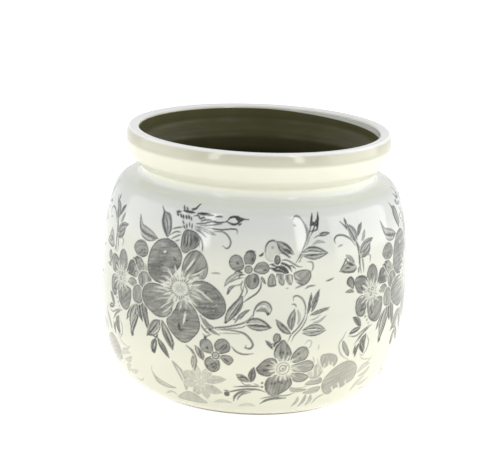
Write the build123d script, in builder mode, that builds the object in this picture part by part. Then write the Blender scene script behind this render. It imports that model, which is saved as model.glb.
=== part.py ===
from build123d import *
import os

# Round glazed earthenware cachepot, in millimetres.
# The frame's origin is the centre of the foot's underside, and +Z runs up the axis of the pot.

# Driving sizes
belly_radius = 80.0
height = 137.2
wall = 4.5
floor_top = 8.0
glaze = 0.5
ink = 0.12
beyond = 400.0

# Foot ring, with its bare underside
foot_share = 0.712
foot_ring = 4.0
foot_round = 1.0
foot_rise = 0.27
recess = 2.5
recess_slope = 2.0
bare_edge = 0.8

# Belly and shoulder, as shares of the belly's radius and of the height, from the foot up to the neck
lower_belly_shares = ((0.899, 0.0945), (0.969, 0.2112), (1, 0.4003))
upper_belly_shares = ((0.980, 0.6266), (0.9475, 0.7252), (0.919, 0.7735))
shoulder_shares = ((0.8575, 0.8072), (0.790, 0.8182), (0.7675, 0.8338))

# Neck, rim band and lip, going up and over
neck_share = 0.7675
neck_high_share = 0.8514
band_shares = ((0.7785, 0.8625), (0.8075, 0.8741), (0.8415, 0.9002), (0.860, 0.9586))
lip_shares = ((0.8531, 0.984), (0.8438, 0.9953), (0.8288, 1))
mouth_shares = ((0.7925, 0.9974), (0.7775, 0.9862))

# Inside wall, from the floor up to the mouth
floor_share = 0.625
inner_corner_shares = ((0.806, 0.1016), (0.906, 0.2112))
inner_upper_shares = ((0.9225, 0.6266), (0.890, 0.7111), (0.864, 0.7579))
inner_shoulder_shares = ((0.8325, 0.7755), (0.775, 0.7835), (0.695, 0.8419))
throat_high_share = 0.8731
funnel_shares = ((0.736, 0.9123), (0.7775, 0.9515))

# Printed transfers around the belly: whole sheets side by side, then one cut to close the ring
print_angle = 107.4
print_gap_angle = 1.5
print_start_angle = -155.9
print_low_share = 0.0603
print_high_share = 0.8047


def place(shares):
    """Turns a share of the belly's radius and one of the height into a point of the outline."""
    radius_share, height_share = shares
    return (belly_radius * radius_share, height * height_share)


def arcs(start, heading, shares):
    """Draws a run of arcs, each tangent to the one before it, through points given as shares."""
    run = []
    for point in map(place, shares):
        run.append(TangentArc(start, point, tangent=heading))
        start, heading = run[-1] @ 1, run[-1] % 1
    return run


def left(heading):
    """Gives the unit vector a quarter turn to the left of a heading."""
    return heading.normalized().rotate(Axis.Z, 90)


def coat_outline(run, distance):
    """Draws the outline between a run of edges and the run at a distance to its left."""
    ends = [run[0] @ 0 + left(run[0] % 0) * distance]
    for edge, after in zip(run, run[1:]):
        ends.append(edge @ 1 + left(edge % 1 + after % 0) * distance)
    ends.append(run[-1] @ 1 + left(run[-1] % 1) * distance)
    add(run)
    for edge, start, end in zip(run, ends, ends[1:]):
        if edge.geom_type == GeomType.LINE:
            Line(start, end)
        else:
            ThreePointArc(start, edge @ 0.5 + left(edge % 0.5) * distance, end)
    Line(run[0] @ 0, ends[0])
    Line(run[-1] @ 1, ends[-1])


up = (0, 1)
outward = (1, 0)
inward = (-1, 0)

foot_radius = belly_radius * foot_share
foot_low = (foot_radius - foot_round, 0)
foot_edge = (foot_radius, foot_round)
widest = place(lower_belly_shares[-1])
neck_low = place(shoulder_shares[-1])
neck_high = place((neck_share, neck_high_share))
mouth = place(mouth_shares[-1])
lip_top = place(lip_shares[-1])
recess_radius = foot_radius - foot_round - foot_ring
recess_centre = (0, recess)
recess_edge = (recess_radius - recess_slope, recess)
recess_low = (recess_radius - recess_slope * bare_edge / recess, bare_edge)
floor_centre = (0, floor_top)
floor_edge = (belly_radius * floor_share, floor_top)
inner_widest = (belly_radius - wall, widest[1])
throat_low = place(inner_shoulder_shares[-1])
throat_high = (throat_low[0], height * throat_high_share)
funnel_top = place(funnel_shares[-1])

# The finished surface of the outside, from the foot's edge over the lip to the mouth
with BuildLine():
    outside = arcs(foot_edge, (1, foot_rise), lower_belly_shares)
    outside += arcs(widest, up, upper_belly_shares + shoulder_shares)
    outside.append(Line(neck_low, neck_high))
    outside += arcs(neck_high, up, band_shares + lip_shares)
    outside += arcs(lip_top, inward, mouth_shares)

# The finished surface of the inside, from the middle of the floor up to the mouth
with BuildLine():
    inside = [Line(floor_centre, floor_edge)]
    inside += arcs(floor_edge, outward, inner_corner_shares)
    inside.append(TangentArc(inside[-1] @ 1, inner_widest, tangent=inside[-1] % 1))
    inside += arcs(inner_widest, up, inner_upper_shares + inner_shoulder_shares)
    inside.append(Line(throat_low, throat_high))
    inside += arcs(throat_high, up, funnel_shares)
    inside.append(Line(funnel_top, mouth))

# The glazed surface of the recess under the base, from its middle out
with BuildLine():
    under = [Line(recess_centre, recess_edge), Line(recess_edge, recess_low)]

with BuildPart() as ivory_glaze:
    with BuildSketch(Plane.XZ) as outer_coat:
        with BuildLine():
            coat_outline(outside, glaze)
        make_face()
    revolve()

with BuildPart() as olive_glaze:
    with BuildSketch(Plane.XZ) as inner_coat:
        with BuildLine():
            coat_outline(inside, -glaze)
        make_face()
    revolve()

with BuildPart() as base_glaze:
    with BuildSketch(Plane.XZ) as under_coat:
        with BuildLine():
            coat_outline(under, glaze)
        make_face()
    revolve()

# The fired earthenware is all that the coats leave of the finished shape
with BuildPart() as pot_body:
    with BuildSketch(Plane.XZ):
        with BuildLine():
            add(outside)
            add(inside)
            Polyline(floor_centre, recess_centre, recess_edge, recess_low, (recess_radius, 0), foot_low)
            TangentArc(foot_low, foot_edge, tangent=outward)
        make_face()
        for coat in (outer_coat, inner_coat, under_coat):
            add(coat.sketch_local, mode=Mode.SUBTRACT)
    revolve()

# Each transfer is a thin print on the ivory coat, with a short gap between it and the next
print_low = height * print_low_share
print_high = height * print_high_share
with BuildSketch() as print_section:
    with BuildLine():
        coat_outline(outside, -ink)
    make_face()
    with Locations((0, print_low)):
        Rectangle(beyond, print_high - print_low, align=(Align.MIN, Align.MIN), mode=Mode.INTERSECT)

pieces = {"pot_body": pot_body, "ivory_glaze": ivory_glaze, "olive_glaze": olive_glaze, "base_glaze": base_glaze}
whole_prints = int(360 // print_angle)
print_arcs = [print_angle] * whole_prints + [360 - print_angle * whole_prints]
for number, arc in enumerate(print_arcs):
    with BuildPart() as transfer:
        with BuildSketch(Plane.XZ.rotated((0, 0, print_start_angle + number * print_angle))):
            add(print_section.sketch)
        revolve(revolution_arc=arc - print_gap_angle)
    pieces[f"floral_transfer_{number + 1}"] = transfer

os.makedirs("parts", exist_ok=True)
for name, piece in pieces.items():
    piece.part.label = name
    export_step(piece.part, f"parts/{name}.step")
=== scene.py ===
import math

import bpy
import numpy as np
from bpy.props import FloatProperty, FloatVectorProperty, IntProperty, PointerProperty
from mathutils import Matrix, Vector


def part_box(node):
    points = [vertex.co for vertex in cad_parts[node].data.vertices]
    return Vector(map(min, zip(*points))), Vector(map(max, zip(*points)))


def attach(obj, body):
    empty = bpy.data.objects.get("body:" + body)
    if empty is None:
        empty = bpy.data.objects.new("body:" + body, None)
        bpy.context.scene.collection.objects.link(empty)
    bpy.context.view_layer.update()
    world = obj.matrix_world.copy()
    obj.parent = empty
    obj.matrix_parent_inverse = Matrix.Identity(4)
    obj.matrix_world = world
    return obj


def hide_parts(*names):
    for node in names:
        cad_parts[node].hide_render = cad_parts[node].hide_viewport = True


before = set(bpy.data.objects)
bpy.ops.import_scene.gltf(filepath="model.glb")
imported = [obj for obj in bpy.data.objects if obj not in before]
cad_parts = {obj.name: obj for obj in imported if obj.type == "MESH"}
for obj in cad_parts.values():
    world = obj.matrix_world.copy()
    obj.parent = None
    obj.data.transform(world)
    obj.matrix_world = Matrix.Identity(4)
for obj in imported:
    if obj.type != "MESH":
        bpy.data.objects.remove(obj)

bl_info = {
    "name": "Cachepot",
    "version": (1, 0, 0),
    "blender": (4, 5, 0),
    "location": "3D View > Sidebar > Cachepot",
    "description": "Dresses the packed cachepot with its glazes, its floral print and a studio",
    "category": "Object",
}

MM = 0.001
WELD = 0.01 * MM
CREASE = math.radians(40)
BODY = "root"
CAD_LOW, CAD_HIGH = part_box("ivory_glaze")

# The outline's points, as shares of the belly's radius and of the height
FOOT_SHARE = 0.712
FOOT_RISE = 0.27
LOWER_BELLY_SHARES = ((0.899, 0.0945), (0.969, 0.2112), (1, 0.4003))
UPPER_BELLY_SHARES = ((0.980, 0.6266), (0.9475, 0.7252), (0.919, 0.7735))
SHOULDER_SHARES = ((0.8575, 0.8072), (0.790, 0.8182), (0.7675, 0.8338))
NECK_HIGH_SHARES = (0.7675, 0.8514)
BAND_SHARES = ((0.7785, 0.8625), (0.8075, 0.8741), (0.8415, 0.9002), (0.860, 0.9586))
LIP_SHARES = ((0.8531, 0.984), (0.8438, 0.9953), (0.8288, 1))
MOUTH_SHARES = ((0.7925, 0.9974), (0.7775, 0.9862))
FLOOR_SHARE = 0.625
INNER_CORNER_SHARES = ((0.806, 0.1016), (0.906, 0.2112))
INNER_UPPER_SHARES = ((0.9225, 0.6266), (0.890, 0.7111), (0.864, 0.7579))
INNER_SHOULDER_SHARES = ((0.8325, 0.7755), (0.775, 0.7835), (0.695, 0.8419))
THROAT_HIGH_SHARE = 0.8731
FUNNEL_SHARES = ((0.736, 0.9123), (0.7775, 0.9515))

# How the print is drawn: straight steps between two points of a curve, the tone of a gap left bare round a mark, how
# far a mark may reach past its points, in millimetres, and the noise that its clouds and strokes are read from
CURVE_STEPS = 6
BARE = 0.02
MARK_REACH = 10
NOISE = np.random.default_rng(7).uniform(-1, 1, (128, 128))

# How a sheet is laid: the steps in which the outline under it is read, how much coarser its underside's faces are
# than its top's and how much longer its underside's grid is in rows, and how light bare glaze and full ink look
ZONE_STEP = 0.3 * MM
ZONE_PLACES = 600
UNDER_GRAIN = 10
UNDER_ROWS = 1.1
GLAZE_SHOWN = 0.92
INK_SHOWN = 0.135

# The lip's white run over the inside's edge on one side: how far it comes down, as a share of the distance to that
# side, and how softly it ends
WHITE_RUN = 0.045
WHITE_RUN_EDGE = 0.6 * MM

# The studio: the floor's width and colour, what the camera looks at, the middle that the lights face, and the lights,
# each with its azimuth, elevation, distance, width, height, power setting and share of that power
FLOOR_WIDTH = 12
FLOOR_COLOUR = "#f7f7f5"
CAMERA_TARGET = (-2.88 * MM, 0, 79.63 * MM)
LIT_MIDDLE = (0, 0, 90 * MM)
LIGHTS = {
    "front_fill": (-90, 4, 1.3, 1.4, 0.5, "fill", 1),
    "left_side": (-178, 12, 1.1, 1.2, 0.8, "sides", 1),
    "right_side": (-2, 12, 1.1, 1.2, 0.8, "sides", 1.6),
    "left_strip": (-127, 25, 1.2, 0.17, 0.95, "strips", 0.9),
    "right_strip": (-56, 25, 1.2, 0.17, 0.95, "strips", 1),
}

# How the sheet is drawn together over the shoulder: the share of its width left at these heights, in millimetres, the
# radius that it is drawn together around, and how far its top creeps up as it is
GATHER = ((75, 84, 92, 99.5, 103, 107), (1, 0.983, 0.970, 0.950, 0.937, 0.921))
GATHER_RADIUS = 80
GATHER_CREEP = 18

# The print's design. A word names the kind of the marks under it. Each other line is one mark, or goes on with it where
# it is indented: its tone from 0, bare, to 1, full ink, its own settings, and its points, as millimetres across the
# sheet and up the pot. Marks are laid in order, a later one over an earlier one.
# petal: the direction of its engraved strokes, in degrees. leaf, stroke: its width. spot, ring: its radius.
# rays: inner and outer radius, count, flatness and width. glow: inner and outer radius and flatness.

PALE_PETALS = """
petal
.26 80 36,37.6 40,38.6 44.6,37.1 46.1,34 44.6,31.2 41.6,32.6 38.6,30.9 36.6,33.2
stroke
.03 .7 38.4,30.6 38.6,33.6
.03 .7 41,31.6 41,34.2
.03 .7 43.4,31 43.2,33.8
petal
.26 20 39.4,23.6 42.4,28 48,31.6 54,32.5 59,30 61.2,25.6 60.2,21 56.4,19.2 53,17.4 49,18 46,14.6 42,16 39.4,20
stroke
.02 .9 48.4,15.4 45.6,19.6
.02 .9 52.4,16.2 49.4,21
.03 .8 56,17.8 54.4,21.6
petal
.26 0 29.2,22.4 31.6,24.6 35,25.6 38,25.4 38.4,22.6 34,21.9
.26 0 29,17.4 31.4,19.4 35,20.4 38.6,20.2 37.6,17.4 33,16.7
.24 0 20.6,22 24,20.6 28.4,20 31,19.4 27,18.4 22.4,18.8
stroke
.22 .6 22,21.2 27,20.7 31,21.6
petal
.22 75 29.6,30.6 32,32.6 35.4,33 37.4,30.4 36.8,26.6 33,25.4 30.2,27
stroke
.03 .7 32.2,32.4 33,26.2
.03 .7 35,32.4 35.4,27
.18 .8 31.6,37.8 32.8,34.4
.16 1.2 34,36.6 36,31.4 38.8,28
.24 .6 26.6,44.6 28,46.6 29.9,46 29.6,43.4 27.4,42.6
.16 .8 34.2,44 34,41.2
leaf
.3 2 28.6,8.6 30.6,12.4 31,16.6
.28 2.4 33,9 34.4,12.2 34,16
.26 1.8 24.4,9 26.4,12 27,15.4
stroke
.24 1.2 36.6,9.6 38.8,13.4 43,15.2
leaf
.18 2.6 62,13 64.6,17.6 69.6,20.4
.16 3 62,24 66,27 71.4,27.4
stroke
.16 1 61.6,33 65,31.2 70.6,30.2
.2 .9 60.6,35.4 63,33.6 65.4,35.6
petal
.22 110 -41.8,31 -38.4,29 -35.4,26 -33.4,22.8 -33.9,18.4 -35.6,15.4 -36.4,19.6 -38.4,24 -40.4,27.6
stroke
.04 .9 -39.6,28.6 -36.8,24 -35.4,18.6
.3 .6 -41,29.8 -38.6,25 -36.4,20.4
petal
.23 15 -56.8,22.6 -54.4,19.4 -50.4,17.6 -45.6,16.2 -41.8,15.4 -46,14.6 -51,14.6 -55,16.4
stroke
.06 .5 -54.8,18.4 -50,16.6 -45.4,15.6
.16 .7 -55.8,25.4 -56.6,22 -54.6,18
leaf
.2 4.6 -23.6,22.6 -19,24.4 -12.6,25.2
.17 4.8 -24.7,24 -22.6,27.2 -19.6,30.2
.15 4.6 -26.6,24.2 -27.9,27.6 -28.4,31.4
.19 4.8 -28.2,23.1 -31.4,25.2 -35.4,26.2
.17 4.6 -28.4,21.4 -32.2,20.3 -36.2,20.2
.2 4.6 -27.2,20 -28.6,16.8 -31.4,13.8
.2 5 -25.4,19.8 -24,16.2 -23.6,12.4
.22 5 -23.8,20.9 -20.4,18.6 -15,17.2
stroke
.3 .6 -21.6,23.2 -17.6,24.4 -14,24.8
.26 .6 -22.4,20 -19.4,18.4 -16.6,17.8
glow
.05 1.6,4.4,.9 -26,22
rays
.2 .5,3.2,11,.9,.5 -26,22
petal
.2 90 -42,8.8 -39.6,12.2 -35,14.8 -31,14.4 -27.4,12 -25,8.8
stroke
.2 1.2 -51,10 -46,12.4 -42.4,11.2
leaf
.18 2.6 -72,25.6 -76,22.6 -80.6,21.6
.16 2.4 -69.6,18.6 -74,16.6 -79,16.4
stroke
.18 1 -72,31.6 -75.4,29 -80,28
.16 1.2 -66,15 -70,12.6 -75,12.8
leaf
.14 2 -20,10.6 -15,12 -9.6,11.4
.12 1.8 -6,9.4 -1,11 3.4,9.8
"""

EDGE_FLOWER = """
petal
.44 80 -2.4,4.4 -2.6,9.4 -.6,12.8 2.6,13.9 5.2,11.6 5.6,7.4 4.2,4 1.2,3
.45 5 -11.4,6.6 -9.8,9.2 -5.8,9.4 -2.8,7.4 -2.4,4 -4.8,1.2 -8.2,1 -10.4,3.4
.44 60 -9.4,-2 -6,-.6 -3.4,-2 -2.6,-6.4 -4.4,-10 -7.4,-11.2 -9.8,-9 -10.4,-5.4
.44 40 -2,-4 .6,-3.4 5.8,-3.6 9.8,-4.4 10.2,-9 8.6,-14 5.6,-16.2 2.2,-15 -.9,-12 -2,-8
.5 25 5.6,3.6 6.6,7.6 8.8,10.4 12.4,10.4 14.8,7.6 15.2,4 12.2,2.6 8.2,3
.32 15 12.4,9.6 16.2,12 20.6,10.6 21.6,6.6 18.4,3.6 14.4,4
.36 20 7.2,-1.4 9.4,1.6 13,1.6 14.6,-1 11.2,-2.6
.2 20 17,-3 19.4,1.6 23.6,3.2 26,.4 24,-3 20.4,-4
.3 0 -3,2 -1.4,3.2 2,3.4 3.6,1.4 2.8,-1.6 0,-3 -2.4,-1.6
stroke
.84 .9 -10,9.1 -6,9.1 -2.8,7.8
.84 1.1 -7.4,5.2 -5.4,3.8
.82 1 -6,5.6 -4.2,4.2
.78 .9 -7.2,3.4 -5.4,2.6
.66 .8 -9.6,1.6 -6.4,.8 -4.2,1.6
.8 .9 -7.2,-5.4 -4.4,-2.6
.78 .8 -7,-7.6 -4.2,-4.6
.82 1 -7.2,-8.4 -4,-7.6
.72 .7 -8.6,-10.6 -5.4,-11.2 -3,-9.6
.74 .8 0,-6 1.6,-10.8
.66 .7 2.2,-5.4 3.2,-8.4
spot
.8 .6 1.8,-10.8
stroke
.66 .6 -1.6,-12 2,-15 5.6,-16.2
.78 1 1,9.2 1.4,8.6
.78 .8 5.6,4.2 7.6,6.4 8.6,9.8
.8 .9 7.6,4.2 9.4,7
.76 .9 9.4,3.6 11,6.4
.7 .7 11.6,4 13.4,6.4
.7 .8 1.6,.4 2.8,-1.2
.66 .8 -.4,1.4 .8,.6
.7 .8 -1.2,-1 .2,-1.4
.08 .6 -2.8,2.6 -5.6,4.8
.06 .6 -3,.4 -6.2,.2
.08 .6 -2,-3 -3.4,-5.4
.08 .6 .8,-4 .6,-7.4
.08 .7 3.8,-3 7.4,-5.8
.04 .7 4.4,-.6 9,-2.2 13.6,-3
.08 .7 4.2,2.4 7.2,4
.08 .6 .6,3.8 .8,6.6
.72 1.3 -6.6,11 -7,16 -6.6,21 -7.6,26 -10,30.6 -13,34 -15.4,36.2
.56 1 -4.8,11 -4.6,16 -5.2,21 -6.6,25
.6 1 -8.4,11 -7.8,14
.74 .9 -8.6,24.6 -11.4,28 -15.4,30 -19.4,30.2 -21.6,28.6 -21.2,26.8
.44 .8 -20,25.2 -16.8,25.8
.8 1.4 -11.8,37.4 -11.4,33.4
leaf
.44 4.8 -8.2,26.4 -8.4,30.2 -10.8,34.4
stroke
.78 .8 -11.4,34 -9.2,30 -8.2,26
.68 .6 -9,33.6 -6.6,31 -6.4,27
leaf
.5 2.4 -5.4,28.8 -3,32 0,34.2
stroke
.74 .9 -5.6,28.6 -3,32.2 0,34.4
leaf
.34 1.6 -3.6,26 -1,28.8 1,31
stroke
.5 .5 -2.8,25.4 -.6,28 .8,30.6
leaf
.44 3.8 -6.2,20.4 -1.6,24 5.4,26.4
stroke
.76 .8 -6.2,20.6 -2,24.4 2,25.4 5.4,26.4
leaf
.44 3.4 -5.4,18.2 -.6,20.8 2.6,24.6
stroke
.72 .7 -5.2,18.2 0,20.6 2.4,23.6
.74 .7 -4.6,20.4 0,22.8 3,25
petal
.3 10 -19.4,14 -17,12.6 -12,12.3 -9.4,13.6 -11,16.2 -14.4,17.2 -17.4,15.8
stroke
.78 .9 -20.4,13.4 -17,12.6 -12,12.2 -9.6,13.6
.72 .8 -20.4,13.2 -17.8,16 -15,19.4 -12,19
.86 1.4 -15,17 -11.4,15.2
.8 .9 -16.6,14.6 -13.6,14.4
.66 .8 -16.6,19 -14.4,17 -12.6,17.8
leaf
.4 2 -10.4,16.4 -13,19 -15.6,20.6
petal
.38 40 -11.9,6.4 -12,8.6 -14,9.9 -15.8,8.6 -15.4,6 -12.2,3.8
stroke
.82 .9 -12.2,3.8 -11.8,7 -13.4,9.6 -15.4,9 -15.8,6.6 -12.4,3.8
leaf
.46 1.8 -17,2.6 -14,2.9 -11.6,2
stroke
.42 .8 .4,15 1.4,18 -.4,19.4
leaf
.5 3.2 -11.6,-11 -8.4,-13.4 -6,-17.4
stroke
.76 .9 -11.6,-11 -9.4,-12.4 -7.6,-15 -6,-17.4
leaf
.5 2.6 -13.4,-19.4 -9.8,-18 -6.2,-17.2
stroke
.76 .9 -13.2,-19.2 -10,-18.8 -7,-17.6
.56 .7 -13.6,-20.4 -9,-21.2 -4,-19 1,-17
.54 .8 -9,-25.4 -6,-22 -2.6,-19.4 2.4,-17.2
.46 .6 -7.4,-24.6 -4,-21 0,-18.6
leaf
.54 4.4 -1.6,-21.4 -3.6,-26 -1.8,-31.4
stroke
.78 1.2 -5,-26 -3.4,-29 -2,-31.2
.74 .8 -3.4,-22.4 -3.2,-26 -1,-29.4
leaf
.56 2 -5.8,-25.6 -7.4,-29 -7.6,-32.6
stroke
.54 1 -8.4,-26 -9,-30.6
.4 .8 -.4,-22.6 1.4,-26 .8,-30.4 -.8,-31.6
spot
.4 .7 -3.2,-12
.4 .6 -1.8,-14
.4 .5 -.6,-15.8
.4 .5 -3.6,-9.8
petal
.32 110 -16.8,-22.4 -14.4,-25 -12,-29.4 -12.4,-31.4 -15.4,-28.4 -17,-25.4
stroke
.36 .7 -15.4,-17.6 -17,-20.8 -19,-23.6 -18.6,-27 -16.4,-30.4 -11.6,-33.6
"""

EDGE_MIDDLE = """
glow
.06 3,6,1 .4,0
rays
.06 3.4,8,15,.95,.8 .4,0
.4 3.2,5,17,.95,.5 .4,0
ring
.5 .8 -1.1,1.2
.5 .8 1.4,1.6
.5 .8 .4,-1
"""

HANGING_LEAVES = """
leaf
.46 2.2 -65.6,55.6 -69.6,51.4 -73,45.6
stroke
.68 .9 -68.6,53 -71.6,49.6 -73,45.8
leaf
.4 4.6 -64.8,55.4 -67.6,50 -70,43.4
stroke
.68 .6 -66.4,54.6 -69.4,50 -70.2,43.6
.74 .9 -64.9,55 -65.4,50.4 -67.6,46 -69.8,43.6
.14 .5 -66,52.8 -68.4,48.4 -69.4,45
leaf
.52 3 -62.2,52.8 -65.8,46.6 -68.6,41.6 -69.2,37.8
stroke
.78 .9 -62.4,52 -65.4,46 -67.8,41 -69,38
spot
.74 1.1 -68.6,39.2
leaf
.46 3.6 -64.2,60.6 -62.8,54 -60.2,48
stroke
.82 1.1 -63,60.6 -62.4,55 -61.4,51 -60.1,48
.66 .6 -64.4,59 -64,53 -61.6,49.4 -60.1,48.2
leaf
.44 4 -60.6,60.6 -58.8,54 -56.4,44.2
stroke
.76 .8 -60.8,60.4 -60.2,54 -57.8,48 -56.2,44
.72 .7 -60.2,60 -57.6,54 -56,49 -55.9,44.4
.64 .5 -59.8,57 -58.2,51.4 -57,46.6
leaf
.36 5 -48.8,51 -52,47.6 -57.2,41.2
stroke
.8 1 -49.4,50.4 -52.6,46 -55,43.4 -57.2,41.2
.66 .6 -48.4,51 -52,50 -54.4,46.6 -56,43
.68 .6 -48.3,50.6 -48.6,46.8 -51,43.6 -56,41.4
leaf
.5 3.4 -51.2,41 -53,37.4 -54.4,33.4
stroke
.8 .8 -51.4,41 -53.6,36.8 -54.4,33.6
.78 .8 -50.8,40 -51.4,36.6 -52.4,33.4
spot
.78 1.2 -53.2,33.8
stroke
.1 .5 -51.8,38.8 -52.8,36
leaf
.44 3.4 -50,41.2 -47.2,37.4 -43.6,32.4
stroke
.78 .9 -49.8,41 -48.6,37.4 -45.6,34 -43.4,32.2
.74 .8 -49.4,41.2 -45.8,37.6 -43.6,32.8
.72 .6 -49,39.4 -46.4,36.4 -44.6,33.8
leaf
.4 4.4 -47.2,51.2 -44.4,44.6 -41,37.2
stroke
.72 .7 -47.4,51.2 -46.6,46 -43.8,41.6 -41.4,37.2
.8 .9 -46,47.4 -43.4,42.6 -41.6,38.6
.74 .8 -46.4,51 -43,46.4 -40.6,41.4 -40.8,37.6
.1 .5 -45.6,48.4 -43,44 -41.4,40.4
.72 .9 -57,41.4 -53.6,42.2 -50.8,41.8 -49.8,43.6
.64 .7 -51,44.4 -50.2,41.6 -48,40.2
"""

BLOSSOM_SIDE = """
petal
.43 10 -71,84 -69.4,87 -66,88.4 -62.4,87.5 -60,85 -59.7,82.4 -61.5,80.7 -65,80 -68.6,81.4
stroke
.78 .9 -66.4,81.8 -64.8,82.2
.78 .9 -65,83.2 -63.6,83.4
.76 .8 -63.2,84 -61.8,84.2
.76 .8 -62.8,82.4 -61.6,82.8
.66 .5 -67.6,86.6 -64.4,87.4
petal
.36 30 -68,79.6 -64,79.6 -61,77.2 -60.3,73.8 -62.5,72.4 -65,74.4 -67.6,77
stroke
.8 1.1 -70,78.4 -67.6,78 -66.2,76
.76 .9 -68.6,76.6 -66.6,74.4
.78 .8 -67.4,79.4 -65.4,78.6
.7 .6 -64.6,76.6 -62.4,75.6
petal
.41 60 -64.2,70 -62,73 -58.5,73.6 -55.4,71.6 -54.9,68 -57,65 -60,65 -63,66.6
stroke
.72 .7 -62.4,72 -60.8,69.4 -61.4,66.6
.14 .6 -59.6,72.2 -58.2,69.4 -59.4,66.4
.66 .5 -57.4,71.6 -56.4,69 -57.6,66.6
petal
.37 80 -68,61.8 -66.4,64.8 -63.4,65.9 -61,63.4 -60.4,59 -62.8,56.5 -67,57.4
stroke
.62 .5 -65.8,64 -65.2,60 -66,58
leaf
.4 3 -54.6,90.8 -60,92.6 -65,93.6 -69.4,95 -73.6,99.6
.42 2.6 -56,90.2 -61,89.8 -65.6,90.8 -69.6,93.4
stroke
.78 1 -73.6,99.6 -71,95.6 -68.6,93 -64,91.6 -59,91.2 -54.8,90.7
.1 .5 -70.4,93.6 -66.6,91 -61,90.6
leaf
.4 5.6 -48.8,92.6 -51,97 -54,101 -56.4,103.2
stroke
.82 1.1 -59.6,105.6 -56.4,103.2 -54.4,99 -51,95 -48.9,92.8
.76 .8 -56,103.6 -52,102.8 -49.6,100.4 -48,96.6 -48,93.4
.74 .6 -54.6,101.8 -51.6,99 -49.6,94.6
.1 .5 -53.2,102 -50.8,99.6 -49,96.4
"""

SMUDGED_BLOSSOM = """
stroke
.82 1 -48.4,104.6 -45,104.8
.86 1.1 -44,105.4 -40,105.3 -36.2,105.3
.88 1.2 -34.6,105.2 -30,105.3 -24.6,105.1
.7 .8 -23.6,104.6 -21.4,105 -19.2,104.9
.8 1.1 -47.6,104 -45.6,103
.8 1.1 -45.2,104 -43.4,102.4
.78 1.1 -43.2,103.8 -41.9,101.9
.8 1.1 -41.4,103.8 -40,102.1
.78 1.1 -39.8,104 -38.4,102.2
.74 .9 -38,103.4 -36.8,101.8
.76 .8 -45.2,107.6 -42.8,105.4
.7 .8 -43,107 -40.8,105.8
.74 .8 -38.8,105.6 -36,108 -34.5,109.8 -35,111.4 -37,111.6 -38.6,110.8
.78 1 -39.2,106.6 -37,106.8 -35.4,108
.76 .8 -36.4,103.8 -34,104.4 -32,103.2 -30,103.8 -27.6,102.6
.78 1 -33.6,100.8 -29,101.4 -24.6,102.6 -21,102.3 -16,103.2
.8 .9 -31.4,102.2 -28.4,103 -25.4,103.2
.84 1 -16.6,103 -14.6,105 -11,105.4 -8.6,104.8 -4.2,104.6
.82 1 -16.8,103.2 -13,102.2 -10.6,102.6 -8.6,104
.82 1.6 -11.6,104.8 -9.4,104.2 -7.4,104.4
.74 .9 -9.8,102 -8.2,102.8
.62 .7 -34,99.6 -30,100.2 -25,101 -19,101.8
.66 .7 -29.6,100 -20,99.4 -13,100.2 -10.4,99.9 -9.9,98.2
.6 .8 -22.8,98.3 -18,98.6 -15,97.2 -13,94.6 -13.4,92.2 -15,91.4 -17,92.5
petal
.4 85 -39.9,92 -39.6,88.6 -37.6,86.9 -35.4,87.2 -32.4,89 -29.8,91.5 -29.7,94 -31.6,96.5 -35,97.6 -38.6,97.5
 -40,95.4
stroke
.74 .8 -38.8,96 -38,92.4 -38.4,90.4
.76 .8 -37,95.6 -36.2,92 -36.8,89.6
.74 .8 -35,95.4 -34.2,92 -34.6,90
.76 1 -33,95.4 -32.2,93
.8 1.1 -31.4,94.8 -31,92.4
.16 .5 -37.8,95.4 -37,92
.16 .5 -35.8,94.8 -35.4,91.4
.78 .8 -41,99.4 -39.2,97.8
.76 .8 -39.4,100.2 -38.2,98
.74 .7 -37.8,101 -36.9,98.8
.7 .7 -36,100.6 -35.4,98.2
.7 .8 -42.4,101.2 -40.6,99.8
.6 .8 -47.6,96.6 -44,97.8 -41,98.4
.64 .7 -47.4,94 -44.6,95.8 -41.4,96
.56 .7 -46.6,92 -43.6,93.8 -40.8,95
.5 .6 -44,91.2 -41,92.6
leaf
.3 2 -34,99.4 -29.6,99 -25.6,98 -21.4,96.8
stroke
.6 .8 -33.6,98.4 -30,97.4 -26.4,95.4
.62 .9 -32.4,96.8 -29,94.2 -27.6,91.4 -27.4,88.8
.52 .6 -31.6,96 -29.8,93.6 -29.2,90.4
.36 .9 -21.6,79 -19,79.4 -16.8,79.2
"""

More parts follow.
